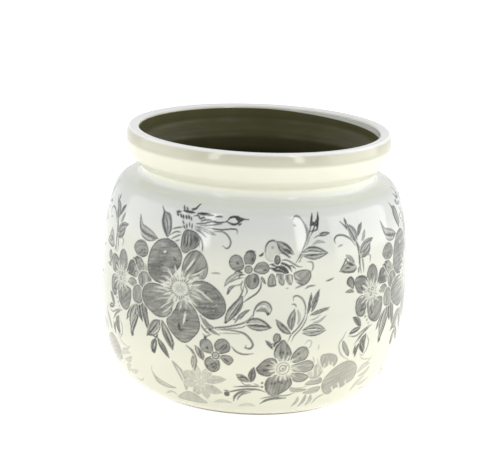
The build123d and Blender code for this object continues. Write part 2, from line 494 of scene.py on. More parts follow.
MIDDLE_LEAVES = """
leaf
.4 5 -13.4,55.4 -10.6,60 -7.4,64.6 -5.4,69
stroke
.74 .8 -13.4,55.4 -12.6,60.6 -10,64.4 -7,68 -5.4,71.6 -5,74
.76 .7 -13,55.2 -9.4,58.6 -6.8,62.8 -5.4,66.8
.74 .6 -11.6,57.6 -9,61.8 -6.6,66
.1 .5 -11.6,59.4 -9,63 -6.8,66.6
spot
.78 .6 -12.8,55.6
.78 .5 -8.8,57.4
leaf
.42 1.6 -8.6,55.6 -6.4,59 -3.6,61.4 -1.6,62.6
stroke
.64 .5 -6.2,57.4 -3.6,60.6
.66 1 .2,58.6 .6,62 2.2,65.2 5,66.8 7.6,65.8 8.9,63.2 8.2,60.8
.52 .5 2,64.4 4.8,65.6 7,64.6 8,62.6
.76 1 1.8,61.6 3.6,63.6 6,63.4 7.4,61.4 7.8,60.3
leaf
.44 1.6 1.4,62 3.4,62.6 5.6,62.6 7.4,60.8
spot
.84 .8 7.3,60.9
stroke
.08 .6 1.6,62.8 3.8,64.6 6.4,64
.6 .9 -24,51 -18,52.3 -12,53.4 -6,55.2 -2.6,57 .3,60.6
.52 .6 -18,51.2 -12,52.3 -5,53.6 -2.6,55.4
.62 1 -15,51.6 -9,51.6 -4,50.6 -1,48 .6,45 -.4,43 -2.4,43 -2.8,44.6
.46 .5 -16,49.8 -10,50.2 -6,50.2
.6 .9 -9.8,43.4 -7.6,41 -4,39.7 1,40.2
.5 .6 -3.6,43.6 -2.6,42.6
leaf
.42 3 -3,56 .6,57 4.6,56.4 9.2,53.8
.42 2.4 -2.6,54.8 1,53.6 5,53.4 9.2,53.8
stroke
.78 .7 -2.8,56.4 -.8,58 2.8,58.3 6,56.3 9.2,53.8
.78 .9 -2.6,54.8 1,55 5.6,54.6 8,54.2
.64 .5 -1.6,53.8 1.4,52.7 5.6,52.7 9.2,53.8
.06 .6 -2,55.8 2,55.9 6.4,55.2
.78 1 7,55.6 8.4,54.2
.46 1.8 -26,57.6 -23,53.6 -19.6,50.4 -16,48.8
.56 .8 -24,56.6 -21.6,53.8 -18,51.8
.5 1 -26.6,54.6 -23.4,50.4 -20.4,48.6
spot
.76 .7 -20.8,51
"""

SMALL_FLOWER = """
petal
.44 80 -5.4,85.4 -5.5,88.4 -3.7,90.4 -1,90.6 .4,89 0,86.4 -1.3,84.6 -3.9,84.3
.44 10 -5.4,84.4 -6.9,87.8 -10,88.8 -12.5,87 -12.7,84 -10.6,81.7 -7.6,81.4 -5.2,82.8
.38 5 0,83.4 1.8,85.5 5,86 7.1,84.2 7.1,82 5,80.4 2,80.5 -.3,81.7
.44 80 -2.6,80 -4.2,77.5 -3.4,74.4 -1,72.9 1.6,74.3 2.6,77.2 1.5,79.9 -.6,80.5
stroke
.82 1 -1.3,85.8 -.9,88
.82 1 -9.2,85.3 -7.9,84.4
.8 .9 4.4,82.3 6.2,82.3
.82 1.1 .2,78.6 .4,76.2
.76 .7 -5,90 -2.6,91 .2,90.6
.74 1.1 2,88.8 3.2,89.2 4.2,90.4
.16 .5 1.2,82 3.6,82.2
ring
.7 1.7 -3,82.2
spot
.42 1.2 -3,82.2
leaf
.34 2.3 -5.8,80.6 -9.6,79 -12.6,76.4 -14.4,73.4
stroke
.76 .8 -6,80.8 -8.4,81.2 -10,80.2
.7 .8 -4.6,79.8 -6.8,79.4 -7.6,78
.6 .6 -5,78.4 -8.6,77.4 -12,75.4
leaf
.4 1.6 -12.6,69.8 -11.6,72.6 -9,74.4
stroke
.72 1.1 -12.8,69.6 -12,71.6
.56 .6 -9.6,74 -6.6,75 -5.4,76.6
.66 .6 -4.4,78.6 -4.6,75.2 -3.2,72 -4.4,69
.52 .5 -5.8,77 -6.2,73.6 -5.4,70.6
.68 .8 3.2,78.6 3.4,74.6 1.6,71.2 -2,68.4 -5.6,65.6
leaf
.5 1.4 3.4,79 4.4,77.6 5.6,75.6
"""

UPPER_SPRIG = """
stroke
.62 .9 20.8,85.6 23.6,89.6 26.4,94.6 29,99.2 31,102.2
.48 .6 22.2,85.6 24.8,89.6 27.4,94.2 30.2,98.6
leaf
.44 2.6 24,90.2 28,91.7 32.6,91.4 38.4,89.4
.44 2.4 25,88.6 29.6,87.9 33.6,88.3 38.4,89.4
stroke
.72 .6 24.4,90.8 28.4,92.3 33,92 36.6,90.4 38.6,89.4
.05 .6 24.6,89.6 30,89.9 35.6,89.6
.68 .5 25,89.2 30,89.3 34.6,89
leaf
.28 1.5 30.2,93.6 33.6,94.9 37.6,94.3
.44 1.7 34.6,97.4 37.6,98 41.2,98.4
stroke
.72 .5 34.8,98.4 38,98.9 41.2,98.4
.56 .6 31.4,96.6 34.2,97.6 36,97.8
.84 1.1 30.2,101 31.4,104 33,107.2
.86 1.3 33.8,100 35.2,103.6 36.8,107.4
.84 1 30.2,102.2 32.6,102.6 35,101.4
.8 .9 31.6,104 33.4,103 34.6,104.6
.66 .8 29.6,99.6 31.8,99.8 34.6,100.4
.56 .9 26.4,94.6 27.6,98.6 27,102.8 25,105.6 22.4,106.3 20.6,105
.44 .6 27.6,95.4 28.6,99 27.8,103
.66 .8 30,98 32.4,101.2 33.4,103.4
.3 .8 20.4,102.8 22,102.2
"""

DARK_FLOWER = """
stroke
.84 1.2 8,83.2 11,81.8 14.4,79.6
.88 1.4 8.6,84.6 12.4,83.6 15.6,81.8 17.4,80
.84 1.2 10.6,85.8 14,85.4 17,84 18.6,81.6
.9 1.5 11,82.6 13.6,81.2 16.6,79.4
.9 1.3 13,84.4 15.4,82.8 17,81
.82 1 7.2,83.4 9.6,83 11.6,83.4
.76 .8 7.4,84.8 9.4,85 11,84.4
.66 .7 11.6,86.6 15.8,87 19.6,85.2 22,83.8 24,83.6
.66 .7 17.4,84.6 19.2,84 20.6,82.6
petal
.1 90 5.3,88.2 5.2,92 6.4,95 9,96 11.4,95 12.6,91.6 12.4,88 10,86.4 7.4,86.4
stroke
.74 .8 5,90.6 5.4,93.4 7,95.4 9.4,95.9 11.2,94.8 12.4,92
spot
.34 .7 8.8,92.8
petal
.56 80 9.8,86 10.4,89 12.4,88.8 12.8,86.2 11.4,84.8
leaf
.36 3.6 10.8,95.6 14.4,93.6 17,91.6 19.6,89.8
stroke
.8 .9 11,95.4 12.6,92 15.6,89.6 18.2,88.2
.76 .9 13.6,94.8 16.8,93.4 19.4,90.6
.82 1.1 14,92.2 16.6,91.4 18.8,89.6
.74 .8 13,90.4 16,89.6 17.4,88
petal
.4 85 6.6,75 6.9,78.6 8.6,80.6 10.2,79 10.6,75.2 8.4,74.6
stroke
.72 .9 7.2,74.4 10.8,75.2
petal
.36 110 10.9,80.6 11.6,77.4 13,75.4 14.6,75.4 14.8,79.8
.32 70 15.2,79.6 16.6,76 18.4,75.4 19,79.8
stroke
.06 .6 11.2,80 11.8,76.6
.04 .7 14.8,80 15.4,75.8
.06 .7 17.6,80 18.6,76
.7 .6 12.8,80.2 13.4,77.4
.7 .6 16.2,79.8 16.8,77.2
petal
.4 50 19.6,80.6 22,81.8 25,82.2 28,81.6 28.6,79 27,76.2 24.4,75 22,75.6 20.4,77.4
stroke
.08 .6 19.8,79.8 23,77.6
.1 .5 20,77.6 22.4,76.2
.5 .8 28.8,81.2 29.8,83 29.5,85.4 26.6,86
.4 .8 23.4,86.4 22.4,86.2
.5 .8 20.2,73.4 22.6,74.4 26,75.4
.52 .9 25.4,73 27.6,74.2 30.8,74.4
.66 .8 36.4,76 38.6,76.4 41,77.2
.36 .6 15.6,73.6 17,73.6
"""

MEDIUM_FLOWER = """
petal
.41 50 -19,39.8 -19.6,43.8 -22,46 -25,45.2 -26,42.4 -24.4,39.4 -21,38.7
.44 40 -17.2,39.8 -18.4,43.4 -16.4,46.4 -13,46.8 -10.7,44.2 -10.8,40.9 -13.6,39.3 -15.6,39
.36 0 -15.4,37.6 -12.8,38.6 -10,38 -8.8,35.8 -11,33.3 -13.6,34.8
.45 60 -18.4,35.8 -21.8,36.4 -23.6,33.4 -22,30 -19,28.7 -16,30.4 -15.5,33.6 -16.4,35.7
leaf
.43 3.4 -24,34.8 -25.6,37.6 -28.4,41.6
stroke
.78 .8 -24.2,34.4 -25.6,37.8 -26.6,40.6
spot
.84 .7 -22,41.4
.86 .75 -23.1,46.7
stroke
.8 .7 -15.6,41.2 -13.2,44.2
.8 .7 -14.4,40.8 -12.4,43.2 -12.2,44.4
.78 1 -13.6,36.8 -11,34.8
.66 .6 -22.6,35.6 -20.6,36.4
.82 1 -20.4,32.4 -18.8,33.4
.8 1 -19.6,31 -17.8,32.2
.74 .8 -18.2,34.4 -17.2,32.4
.72 .9 -22.6,32.6 -21.6,31
.74 .8 -18.4,30.2 -17,31.4
ring
.66 1.7 -17.7,37.8
spot
.36 1.1 -17.7,37.8
stroke
.5 .7 -24.4,48.6 -22.8,47.4 -20,48.6
.56 1.4 -33.2,41 -30,38.6 -28.2,34.6 -28.4,31 -29,28.2
leaf
.34 2 -29.4,36.6 -29.8,33 -30,29.4
"""

LOWER_FLOWER = """
petal
.45 85 14.4,36.4 12,38 11.2,41 12.8,45 15.4,47.6 17.6,45.4 19.6,42 20.1,38.6 18.2,36.2
.4 40 20,36.3 21,40.4 24,43.3 27.4,43.2 29,40.2 27.6,36.8 24,35
.37 0 20.6,33.4 25,35.1 29.5,36 32.3,34 31.8,30.9 28,29.6 22,30.6
.34 -20 21,29.6 27,29 30.4,27 28,24.6 24,24.5 21,26.6
.45 85 12.6,28.8 9,27 7.6,23.6 8.8,19.6 11.2,16.9 15,17.2 20,20.5 21.8,23.6 20.6,27 18.4,28.8
.45 5 13,35.8 10.6,38 7,37.2 4,34.2 2.7,31.8 5,29.2 8.5,28.1 12,29.4
stroke
.78 .9 11.2,40.6 12.6,44.6 15.2,47.4
.76 .8 3,32.4 4.4,29.8 8,28.2
.7 .7 8.4,25.8 8.2,21 10.4,17.8
.84 .8 14.4,41.8 14.3,40
.84 .8 15.7,41.6 15.8,40.2
.84 .9 17.8,41 18,39.8
spot
.76 .6 23.7,40
.64 .45 24.8,37.4
stroke
.84 .9 11,24.6 11.2,23.2
spot
.82 .55 13,24.1
.82 .5 14.8,24.9
.82 .55 16.4,24.3
stroke
.84 .9 18.6,25.8 19.4,25
.86 1 7.4,33.8 9.6,34.2
.86 1 6,31.2 8,31.4
.8 .8 10,35.4 11.6,35.2
.76 .7 10.4,33.4 12,32.8
.1 .6 13,33.8 9.6,34.9
.1 .6 12.8,32.4 8.6,32.6
.12 .5 13,30.8 9.4,30.4
.1 .6 15,36.2 13.4,39.4
.1 .6 16.4,36.4 16.2,39.6
.1 .6 17.6,36.2 18.8,38.8
.1 .6 19.2,35 22.6,37.6
.1 .6 20,33.2 25.4,33.4
.1 .6 20,31.6 26,31
.1 .6 19.6,29.8 23.4,27.4
.1 .6 14.2,28.8 12.6,25.6
.1 .6 15.6,28.6 15,26
.1 .6 17,28.6 17.6,26
.1 .6 18.4,29.2 20.2,26.6
.56 .8 18,47 19.2,50.2 22,53 24.6,56.8 26.2,61
.5 .7 19.6,46.6 20.8,49.6 23.6,52.6 26,56.4 27.2,60.4
leaf
.42 3.2 18.9,50.6 15.4,53.2 11.4,57.9
stroke
.74 .8 11.4,57.9 12.6,54.6 15,51.8 18.9,50.4
.72 .7 12.6,56.6 15.4,54.2 18,51.4
spot
.82 .6 14.6,54.9
leaf
.42 3.8 19.3,52.6 18.9,57 20.3,62.8
stroke
.6 .6 19.1,52.6 17.6,56.6 18.6,60.4 20.4,63.2
.74 .6 19.3,53 19.2,56.6 19.9,60
leaf
.28 1.4 22.2,55 23,58.6 22,62.8
.45 2.5 25,52.2 29.6,53.7 33.4,53.3 37.2,51.2
.42 2.2 25,50.7 29,49.9 33,50.1 37.2,51.2
stroke
.06 .6 25.4,51.8 30,51.9 35,51.5
.66 .4 25.2,51.4 30,51.3 36.8,51.2
leaf
.5 1.8 27.2,60.6 28.2,65.4 28.7,70.6
stroke
.76 .7 27,60.6 27.8,65 28.7,70.8
leaf
.44 2.8 29.6,61.6 30.8,66.6 32.9,72
stroke
.74 .7 29,61.4 30.8,66.4 33,72
spot
.76 .6 31.4,66.6
leaf
.42 2 28.6,59.8 33,61 38.8,62.8
stroke
.6 .5 31,60.4 35,61.4 38.6,61.6
leaf
.3 1.2 30,55.6 33.4,56.2 37.2,58.8
stroke
.38 .6 28.6,57 31,57.6 34,59.4
.54 .9 25.9,60 25.8,64.4 24.2,68 21.6,69.7 19.7,69.2 19.7,67.3
.56 .8 18.8,65.6 20.4,65.4 21.2,64.2
.5 .6 19.9,62.8 20.6,61
petal
.36 70 11,46.2 10.3,48.6 11.4,50.9 13.3,50.4 13.8,48 12.6,46
stroke
.8 1 10.2,42.8 11.6,45.6 13.6,47.2
.7 .7 13.4,50.6 14,48 12.8,46
leaf
.44 1.8 6.8,47.2 8.6,45.4 10.4,42.8
stroke
.74 .7 6.8,47.2 9,44.4 10.4,42.8
.64 .6 8.6,45 11.2,45.8
leaf
.42 3.2 -7,28.6 -4,26.8 0,24.8
stroke
.76 1 -6,27 -3.4,27.2 -.6,25.2
.6 .5 -7,28.4 -5.4,25.6 -1.6,24.6
leaf
.5 3.6 .6,24.8 .7,28.6 1.6,32.8
stroke
.8 .9 .4,24.8 .4,28.4 1.4,32.4
.76 .8 1.6,25.2 2.4,28.6 1.8,32
.66 .8 -8.4,21.4 -3,22 2,22.3 5.4,22
.5 .5 -5,25.2 -2.6,23 .6,23.4
.46 .5 1.6,24 5,22.6
spot
.66 .6 6.2,24.3
.74 .55 6.3,22
stroke
.66 .9 8.6,18.8 5,20.2 0,20.6 -5,19.9 -9.4,18.6 -11.8,17.6
spot
.68 1.5 -12.2,16.8
stroke
.5 .8 -10.8,18.6 -13.6,18.8
.58 1.4 -.6,19.4 -5,18.4 -7.8,15.8 -8.6,12.8
.52 1 .6,18.6 -3.4,17.6 -5.8,15.4 -6.6,13.4
.5 .5 2.6,20 -2.4,19 -6,17
.58 1.5 6,11.6 9.4,14 14,15 20,15
.44 .8 6,14.8 10.6,16 16,15.9
.4 .9 9.6,17.6 14.6,16.8 20,16.6 24,18
"""

# In the big blossom, the nearly bare stroke from -49.6,85.4 to -47.8,85.9 on the top petal is a painted glint.
BIG_BLOSSOM = """
petal
.53 8 -41.5,76 -38.6,80 -38,84 -39,87 -41.5,89.6 -45,91.5 -49,92 -54,90.5 -57.2,87 -58.6,83 -58.6,78
 -57.4,74.3 -54.5,71.5 -51,70.1 -47.5,70.3 -44.5,72.5
.43 60 -36.6,76 -37.3,80 -36.6,84 -34.2,87.5 -30.5,88.9 -27,87.4 -24.4,84 -23.3,80.3 -24,77 -26,75.2
 -29.5,74.8 -33,75.2
.52 5 -30.6,73.4 -27,74.8 -23.5,74.7 -20,73.2 -16.5,70.3 -14,66.7 -13.1,62.5 -14.4,59 -17.8,56.7 -21.5,56.4
 -25,58 -28,60.6 -30.6,63.6 -31.6,66.5
.48 3 -34,63.6 -30,61.7 -27.4,58 -26,53.5 -26.5,49.5 -29,46 -32,43 -35,42.2 -38,43.4 -41.6,46.5 -44,50
 -44.1,53 -42,55.7 -39.6,58.7 -38,62.3
.44 12 -43.6,66 -47,68.6 -52,69.4 -57,68.2 -60.2,65 -60.6,60.5 -58.2,57 -54,54.4 -50,52.8 -46,53.2 -43,55
 -41,58.2 -40.6,62
stroke
.3 .8 -43,77.2 -46,78.2 -49.5,77.8
.26 .7 -42.5,75.6 -45.5,76.6 -48,76
.3 .7 -43.5,73.8 -46,74.2 -49,73.4
.04 1.1 -49.6,85.4 -47.8,85.9
.8 .9 -43,84 -41,82.2
.72 .7 -52,79.6 -48,78.8
.66 .5 -50.5,82.6 -46,82
.06 1.1 -35.2,78.2 -33,81.6 -30.9,84.8
.75 .6 -34.2,77.8 -32,81 -30.4,83.6
.06 1 -31.8,76.6 -28.4,78.2 -25.4,80.6
.78 .6 -31,77.6 -28,79.2 -25,81.6
.8 1.1 -28.4,77.2 -27.2,76.8
.1 .7 -31,75.6 -29,75.8 -27,76
.06 .9 -31,71 -26.5,69.6 -23,67.2 -19.8,65.2
.2 .6 -32,68.6 -28.5,68 -25.6,66.2
.7 .6 -28.4,69.2 -25.6,68
spot
.78 .6 -23.8,69.2
.74 .55 -26.2,63.2
.7 .4 -24.4,60.6
stroke
.2 .6 -22.6,62.6 -22,62.4
.2 .6 -19.6,61 -19,60.8
.22 .6 -18.2,63.8 -17.6,63.6
.7 .5 -19,70.2 -15.6,66.4
.05 1.2 -33.8,58.4 -34.2,55 -34.9,51.8
.8 .9 -33.4,53.4 -32.2,54.4
.82 1.5 -37.2,52.2 -37,49.6 -36,47.8
.75 .7 -36,47.8 -34.6,49.6
.62 .5 -38,58 -37.8,54
.6 .5 -35.6,61.6 -35.8,57.6
.6 .5 -32.6,61 -31.2,57.6
.18 .6 -36.8,62 -37.2,58
.18 .6 -34.4,62.4 -33.2,59.6
.14 .6 -43,66.8 -48,68 -53,67.4
.12 .7 -42.4,65.4 -47,66 -53.5,65.4
.16 .6 -42.2,64 -46,63.2 -51,61.6
.08 1.1 -42,62.2 -45.6,60 -49.6,56.6
.12 .9 -41.4,60.4 -44,57.6 -47,55.4
.66 .5 -44,61.6 -47.5,59 -50,56.2
.6 .45 -44,66.6 -49,66.8
.6 .45 -44,64.4 -49.5,63.4
"""

FLOWER_MIDDLES = """
glow
.06 5.5,13,.8 -37.4,69.4
rays
.06 6.6,12,17,.85,.8 -37.4,69.4
.42 6.2,9,21,.85,.5 -37.4,69.4
.6 4.4,6.2,28,.82,.6 -37.4,69.4
.26 .6,3.4,13,.8,.5 -37.4,69.4
glow
.06 3,6,.95 16.3,32.3
rays
.06 3.6,7,15,.95,.8 16.3,32.3
ring
.3 3.2 16.3,32.3
.4 1.6 16.1,32.4
spot
.5 .6 16.3,32.2
.5 .4 17.9,33.6
.46 .4 14.8,30.9
rays
.5 1.9,3.4,9,.9,.5 -17.7,37.8
"""

# What makes up the design, in the order in which it is laid, and how far each group is moved across and up
DESIGN = (
    (PALE_PETALS, (0, 0)),
    (EDGE_FLOWER + EDGE_MIDDLE, (65, 66.6)),
    (HANGING_LEAVES + BLOSSOM_SIDE + SMUDGED_BLOSSOM + MIDDLE_LEAVES, (0, 0)),
    (SMALL_FLOWER + UPPER_SPRIG + DARK_FLOWER + MEDIUM_FLOWER + LOWER_FLOWER, (0, 0)),
    (BIG_BLOSSOM + FLOWER_MIDDLES, (0, 0)),
)


def size_property(name, description, default):
    """A length that the sidebar shows in the scene's units."""
    return FloatProperty(name=name, description=description, default=default, min=0, unit="LENGTH", precision=5)


def colour_property(name, description, code):
    """A colour that is written as an sRGB hex code."""
    return FloatVectorProperty(
        name=name, description=description, default=linear(code), size=4, min=0, max=1, subtype="COLOR"
    )


def linear(code):
    """The linear colour, with its alpha, of an sRGB hex code."""
    shares = [int(code[i : i + 2], 16) / 255 for i in (1, 3, 5)]
    return (*(s / 12.92 if s <= 0.04045 else ((s + 0.055) / 1.055) ** 2.4 for s in shares), 1.0)


class PotSizes(bpy.types.PropertyGroup):
    """Sizes of the pot's glazed surfaces."""

    belly_radius: size_property("Belly radius", "Half the belly's width", CAD_HIGH.x)
    height: size_property("Height", "From the foot ring's underside to the top of the lip", CAD_HIGH.z)
    foot_edge: size_property("Foot edge", "Height at which the outside's glaze starts", CAD_LOW.z)
    wall: size_property("Wall", "Thickness of the wall at the widest place", 4.5 * MM)
    floor_top: size_property("Floor", "Height of the inside's floor", 8 * MM)
    glaze: size_property("Glaze", "Thickness of each coat of glaze", 0.5 * MM)
    outline_step: size_property("Outline step", "Longest straight run along the outline", 2.2 * MM)
    ring_steps: IntProperty(name="Ring steps", description="Faces around the pot", default=256, min=24)


class GlazeColours(bpy.types.PropertyGroup):
    """Colours of the glazes and of the bare clay, some with painted light and shade in them."""

    ivory: colour_property("Ivory", "The glaze on the middle of the belly", "#e8e9db")
    # Shoulder: painted shade, a cool grey for the upward-facing shoulder that the dim tent overhead leaves darker. The
    # same grey serves for the lip's white run inside the mouth.
    shoulder: colour_property("Shoulder", "The glaze where it runs thin over the shoulder", "#dcdfda")
    # Creamy glaze where it pools, made lighter as painted light bounced up from the floor onto the low belly and under
    # the rim band.
    cream_pool_and_bounce_light: colour_property("Cream", "The glaze where it pools under the rim band and low on the belly", "#fbfae6")
    # Band: painted shade, a darker beige on the rim band's upper face where it mirrors the dark room on the camera's
    # side.
    band: colour_property("Band", "The glaze on the rim band's upper face", "#d4d2bd")
    # Lip: a painted white highlight along the top of the lip.
    lip: colour_property("Lip", "The glaze where it thins to white along the lip", "#ffffff")
    olive: colour_property("Olive", "The inside's glaze", "#5a583a")
    # Deep olive: the inside's glaze darker and browner towards the bottom of the pot.
    olive_deep: colour_property("Deep olive", "The inside's glaze where it lies thick", "#221f12")
    bisque: colour_property("Bisque", "The bare fired clay of the foot ring", "#d9cdb8")
    ink: colour_property("Ink", "The print where it is solid", "#232529")


class PrintSizes(bpy.types.PropertyGroup):
    """Sizes of the printed transfer sheets."""

    sheet_angle: FloatProperty(
        name="Sheet angle", description="Angle around the pot of one whole sheet", default=math.radians(107.4),
        subtype="ANGLE",
    )
    start_angle: FloatProperty(
        name="Start angle", description="Where the first sheet starts", default=math.radians(-155.9), subtype="ANGLE"
    )
    low: size_property("Low edge", "Height of the sheets' lower edge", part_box("floral_transfer_1")[0].z)
    high: size_property("High edge", "Height of the sheets' upper edge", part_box("floral_transfer_1")[1].z)
    film: size_property("Film", "How far the print stands above the glaze", 0.1 * MM)
    under: size_property("Underside", "How far the sheets' underside lies above the glaze", 0.02 * MM)
    seam: size_property("Seam", "Gap between one sheet and the next", 0.08 * MM)
    repeat: size_property("Repeat", "Distance around the belly at which the design starts again", 144.5 * MM)
    grain: size_property("Grain", "Size of the faces that carry the print's tones", 0.412 * MM)


class StudioSettings(bpy.types.PropertyGroup):
    """The camera's place and the level of the lights."""

    camera_distance: size_property("Camera distance", "From the camera to the point it looks at", 0.9)
    camera_elevation: FloatProperty(
        name="Camera elevation", description="Angle above the floor", default=math.radians(14.604), subtype="ANGLE"
    )
    camera_roll: FloatProperty(
        name="Camera roll", description="Turn about the line of sight", default=math.radians(2.256), subtype="ANGLE"
    )
    camera_lens: FloatProperty(name="Lens", description="Focal length in millimetres", default=123.33, unit="CAMERA")
    fill: FloatProperty(name="Fill", description="Power of the low soft light in front", default=0.8, unit="POWER")
    sides: FloatProperty(name="Sides", description="Power of the side panel on the left", default=3.6, unit="POWER")
    strips: FloatProperty(name="Strips", description="Power of each strip light in front", default=2.7, unit="POWER")
    surround: FloatProperty(name="Surround", description="Brightness of the tent low down and behind", default=1.0)
    ceiling: FloatProperty(name="Ceiling", description="Share of that brightness overhead", default=0.4)
    front: FloatProperty(name="Front", description="Share of that brightness on the camera's side", default=0.45)
    floor_lift: FloatProperty(name="Floor lift", description="Light added to the floor as it is seen", default=0.7)


# Outlines


class Run:
    """One arc, or a straight run where it has no centre, of an outline of radius and height points."""

    def __init__(self, start, end, centre=None, turn=0.0):
        self.start, self.end, self.centre, self.turn = start, end, centre, turn

    def normal(self, point):
        """The unit vector to the run's left at one of its points."""
        if self.centre:
            return (self.centre - point).normalized() * math.copysign(1, self.turn)
        along = (self.end - self.start).normalized()
        return Vector((-along.y, along.x))

    def steps(self, longest):
        """How many faces the run takes, at most 4 degrees and a longest step each."""
        if not self.centre:
            return 1
        length = (self.start - self.centre).length * abs(self.turn)
        return max(math.ceil(length / longest), math.ceil(abs(self.turn) / math.radians(4)))

    def back(self, distance):
        """The same run moved to its left by a distance and drawn the other way."""
        start, end = (point + distance * self.normal(point) for point in (self.start, self.end))
        return Run(end, start, self.centre, -self.turn)

    def points(self, longest):
        """Points along the run, without its start."""
        if not self.centre:
            return [self.end]
        count = self.steps(longest)
        arm = self.start - self.centre
        return [self.centre + Matrix.Rotation(self.turn * i / count, 2) @ arm for i in range(1, count + 1)]


def place(pot, shares):
    """The point of the outline, as radius and height, for its two shares."""
    return Vector((pot.belly_radius * shares[0], pot.height * shares[1]))


def arcs(start, heading, ends):
    """A chain of arcs through the end points, each tangent to the one before it, and the heading at its end."""
    runs = []
    for end in ends:
        chord = end - start
        turn = 2 * math.atan2(heading.x * chord.y - heading.y * chord.x, heading.dot(chord))
        bow = chord.length / (2 * math.sin(turn / 2))
        runs.append(Run(start, end, start + bow * Vector((-heading.y, heading.x)), turn))
        start, heading = end, Matrix.Rotation(turn, 2) @ heading
    return runs, heading


def outside_runs(pot):
    """The outside's outline, from the foot's edge over the lip to the mouth."""
    up, inward = Vector((0, 1)), Vector((-1, 0))
    foot_edge = Vector((pot.belly_radius * FOOT_SHARE, pot.foot_edge))
    lower, upper, rim = (
        [place(pot, share) for share in shares]
        for shares in (LOWER_BELLY_SHARES, UPPER_BELLY_SHARES + SHOULDER_SHARES, BAND_SHARES + LIP_SHARES)
    )
    neck_high = place(pot, NECK_HIGH_SHARES)
    runs = arcs(foot_edge, Vector((1, FOOT_RISE)).normalized(), lower)[0] + arcs(lower[-1], up, upper)[0]
    runs += [Run(upper[-1], neck_high)] + arcs(neck_high, up, rim)[0]
    return runs + arcs(rim[-1], inward, [place(pot, share) for share in MOUTH_SHARES])[0]


def inside_runs(pot):
    """The inside's outline, from the middle of the floor up to the mouth."""
    up, outward = Vector((0, 1)), Vector((1, 0))
    floor_centre = Vector((0, pot.floor_top))
    floor_edge = Vector((pot.belly_radius * FLOOR_SHARE, pot.floor_top))
    widest = Vector((pot.belly_radius - pot.wall, pot.height * LOWER_BELLY_SHARES[-1][1]))
    corner, upper, funnel = (
        [place(pot, share) for share in shares]
        for shares in (INNER_CORNER_SHARES, INNER_UPPER_SHARES + INNER_SHOULDER_SHARES, FUNNEL_SHARES)
    )
    throat_high = Vector((upper[-1].x, pot.height * THROAT_HIGH_SHARE))
    runs = [Run(floor_centre, floor_edge)] + arcs(floor_edge, outward, corner + [widest])[0]
    runs += arcs(widest, up, upper)[0] + [Run(upper[-1], throat_high)]
    return runs + arcs(throat_high, up, funnel)[0] + [Run(funnel[-1], place(pot, MOUTH_SHARES[-1]))]


# Modelling


def start_piece(name, point):
    """A new mesh object of one vertex, at a radius and height, in edit mode, with nothing else selected."""
    bpy.ops.object.select_all(action="DESELECT")
    bpy.ops.mesh.primitive_circle_add(vertices=3, radius=MM)
    piece = bpy.context.object
    piece.name = name
    piece.data.name = name
    bpy.ops.object.mode_set(mode="EDIT")
    bpy.ops.mesh.select_mode(type="VERT")
    bpy.ops.mesh.select_all(action="SELECT")
    bpy.ops.mesh.merge(type="CENTER")
    bpy.ops.transform.translate(value=(point.x, 0, point.y))
    return piece


def draw_line(start, end):
    """Extrudes the selected vertex from start to end, where they differ."""
    step = end - start
    if step.length > 0.1 * WELD:
        bpy.ops.mesh.extrude_vertices_move(TRANSFORM_OT_translate={"value": (step.x, 0, step.y)})


def draw_runs(here, runs, longest):
    """Draws on from the vertex at here: extrudes it along straight runs, and spins it about the arcs' centres."""
    for run in runs:
        draw_line(here, run.start)
        if run.centre:
            centre = (run.centre.x, 0, run.centre.y)
            bpy.ops.mesh.spin(steps=run.steps(longest), angle=run.turn, center=centre, axis=(0, 1, 0))
        else:
            draw_line(run.start, run.end)
        here = run.end
    return here


def turn_coat(pot, name, runs, depth):
    """A coat of glaze: its outline and the one under it, closed at the foot or on the axis, and turned."""
    piece = start_piece(name, runs[0].start)
    here = draw_runs(runs[0].start, runs, pot.outline_step)
    here = draw_runs(here, [run.back(depth) for run in reversed(runs)], 3 * pot.outline_step)
    if here.x > MM:
        draw_line(here, runs[0].start)
    bpy.ops.mesh.select_all(action="SELECT")
    bpy.ops.mesh.remove_doubles(threshold=WELD)
    bpy.ops.object.mode_set(mode="OBJECT")
    bpy.ops.object.modifier_add(type="SCREW")
    turning = piece.modifiers[-1]
    turning.axis = "Z"
    turning.angle = math.tau
    turning.steps = turning.render_steps = pot.ring_steps
    turning.use_merge_vertices = True
    turning.merge_threshold = WELD
    bpy.ops.object.modifier_apply(modifier=turning.name)
    bpy.ops.object.mode_set(mode="EDIT")
    bpy.ops.mesh.select_all(action="SELECT")
    bpy.ops.mesh.remove_doubles(threshold=WELD)
    bpy.ops.mesh.normals_make_consistent(inside=False)
    bpy.ops.object.mode_set(mode="OBJECT")
    bpy.ops.object.shade_smooth_by_angle(angle=CREASE)
    return piece


def finish_piece(piece, material, slot, *nodes):
    """Gives the piece its material and seats it on the pot in place of its CAD nodes."""
    piece.data.materials.clear()
    piece.data.materials.append(material)
    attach(piece, BODY)
    if nodes:
        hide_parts(*nodes)


def wrap_sheet(points, pot, start, width, heights, radii, slopes, lift):
    """Places a flat grid's points on the pot, at a lift above its glaze, and returns their places on the sheet."""
    across = points[:, 0] + 0.5
    upward = points[:, 1] + 0.5
    height = np.interp(upward, np.linspace(0, 1, len(heights)), heights)
    radius = np.interp(height, heights, radii) + lift * np.interp(height, heights, slopes[:, 0])
    angle = start + across * width / pot.belly_radius
    points[:, 0] = radius * np.cos(angle)
    points[:, 1] = radius * np.sin(angle)
    points[:, 2] = height + lift * np.interp(height, heights, slopes[:, 1])
    return (angle + math.pi / 2) * pot.belly_radius / MM, height / MM


# The print's painter


def curve(points, closed=False):
    """A smooth line through the points, in short straight steps."""
    if closed:
        points = np.vstack((points[-1], points, points[:2]))
    else:
        points = np.vstack((2 * points[0] - points[1], points, 2 * points[-1] - points[-2]))
    t = np.linspace(0, 1, CURVE_STEPS, endpoint=False)[:, None]
    steps = [
        b + 0.5 * t * (c - a + t * (2 * a - 5 * b + 4 * c - d + t * (3 * (b - c) + d - a)))
        for a, b, c, d in zip(points, points[1:], points[2:], points[3:])
    ]
    return np.vstack((*steps, points[-2]))


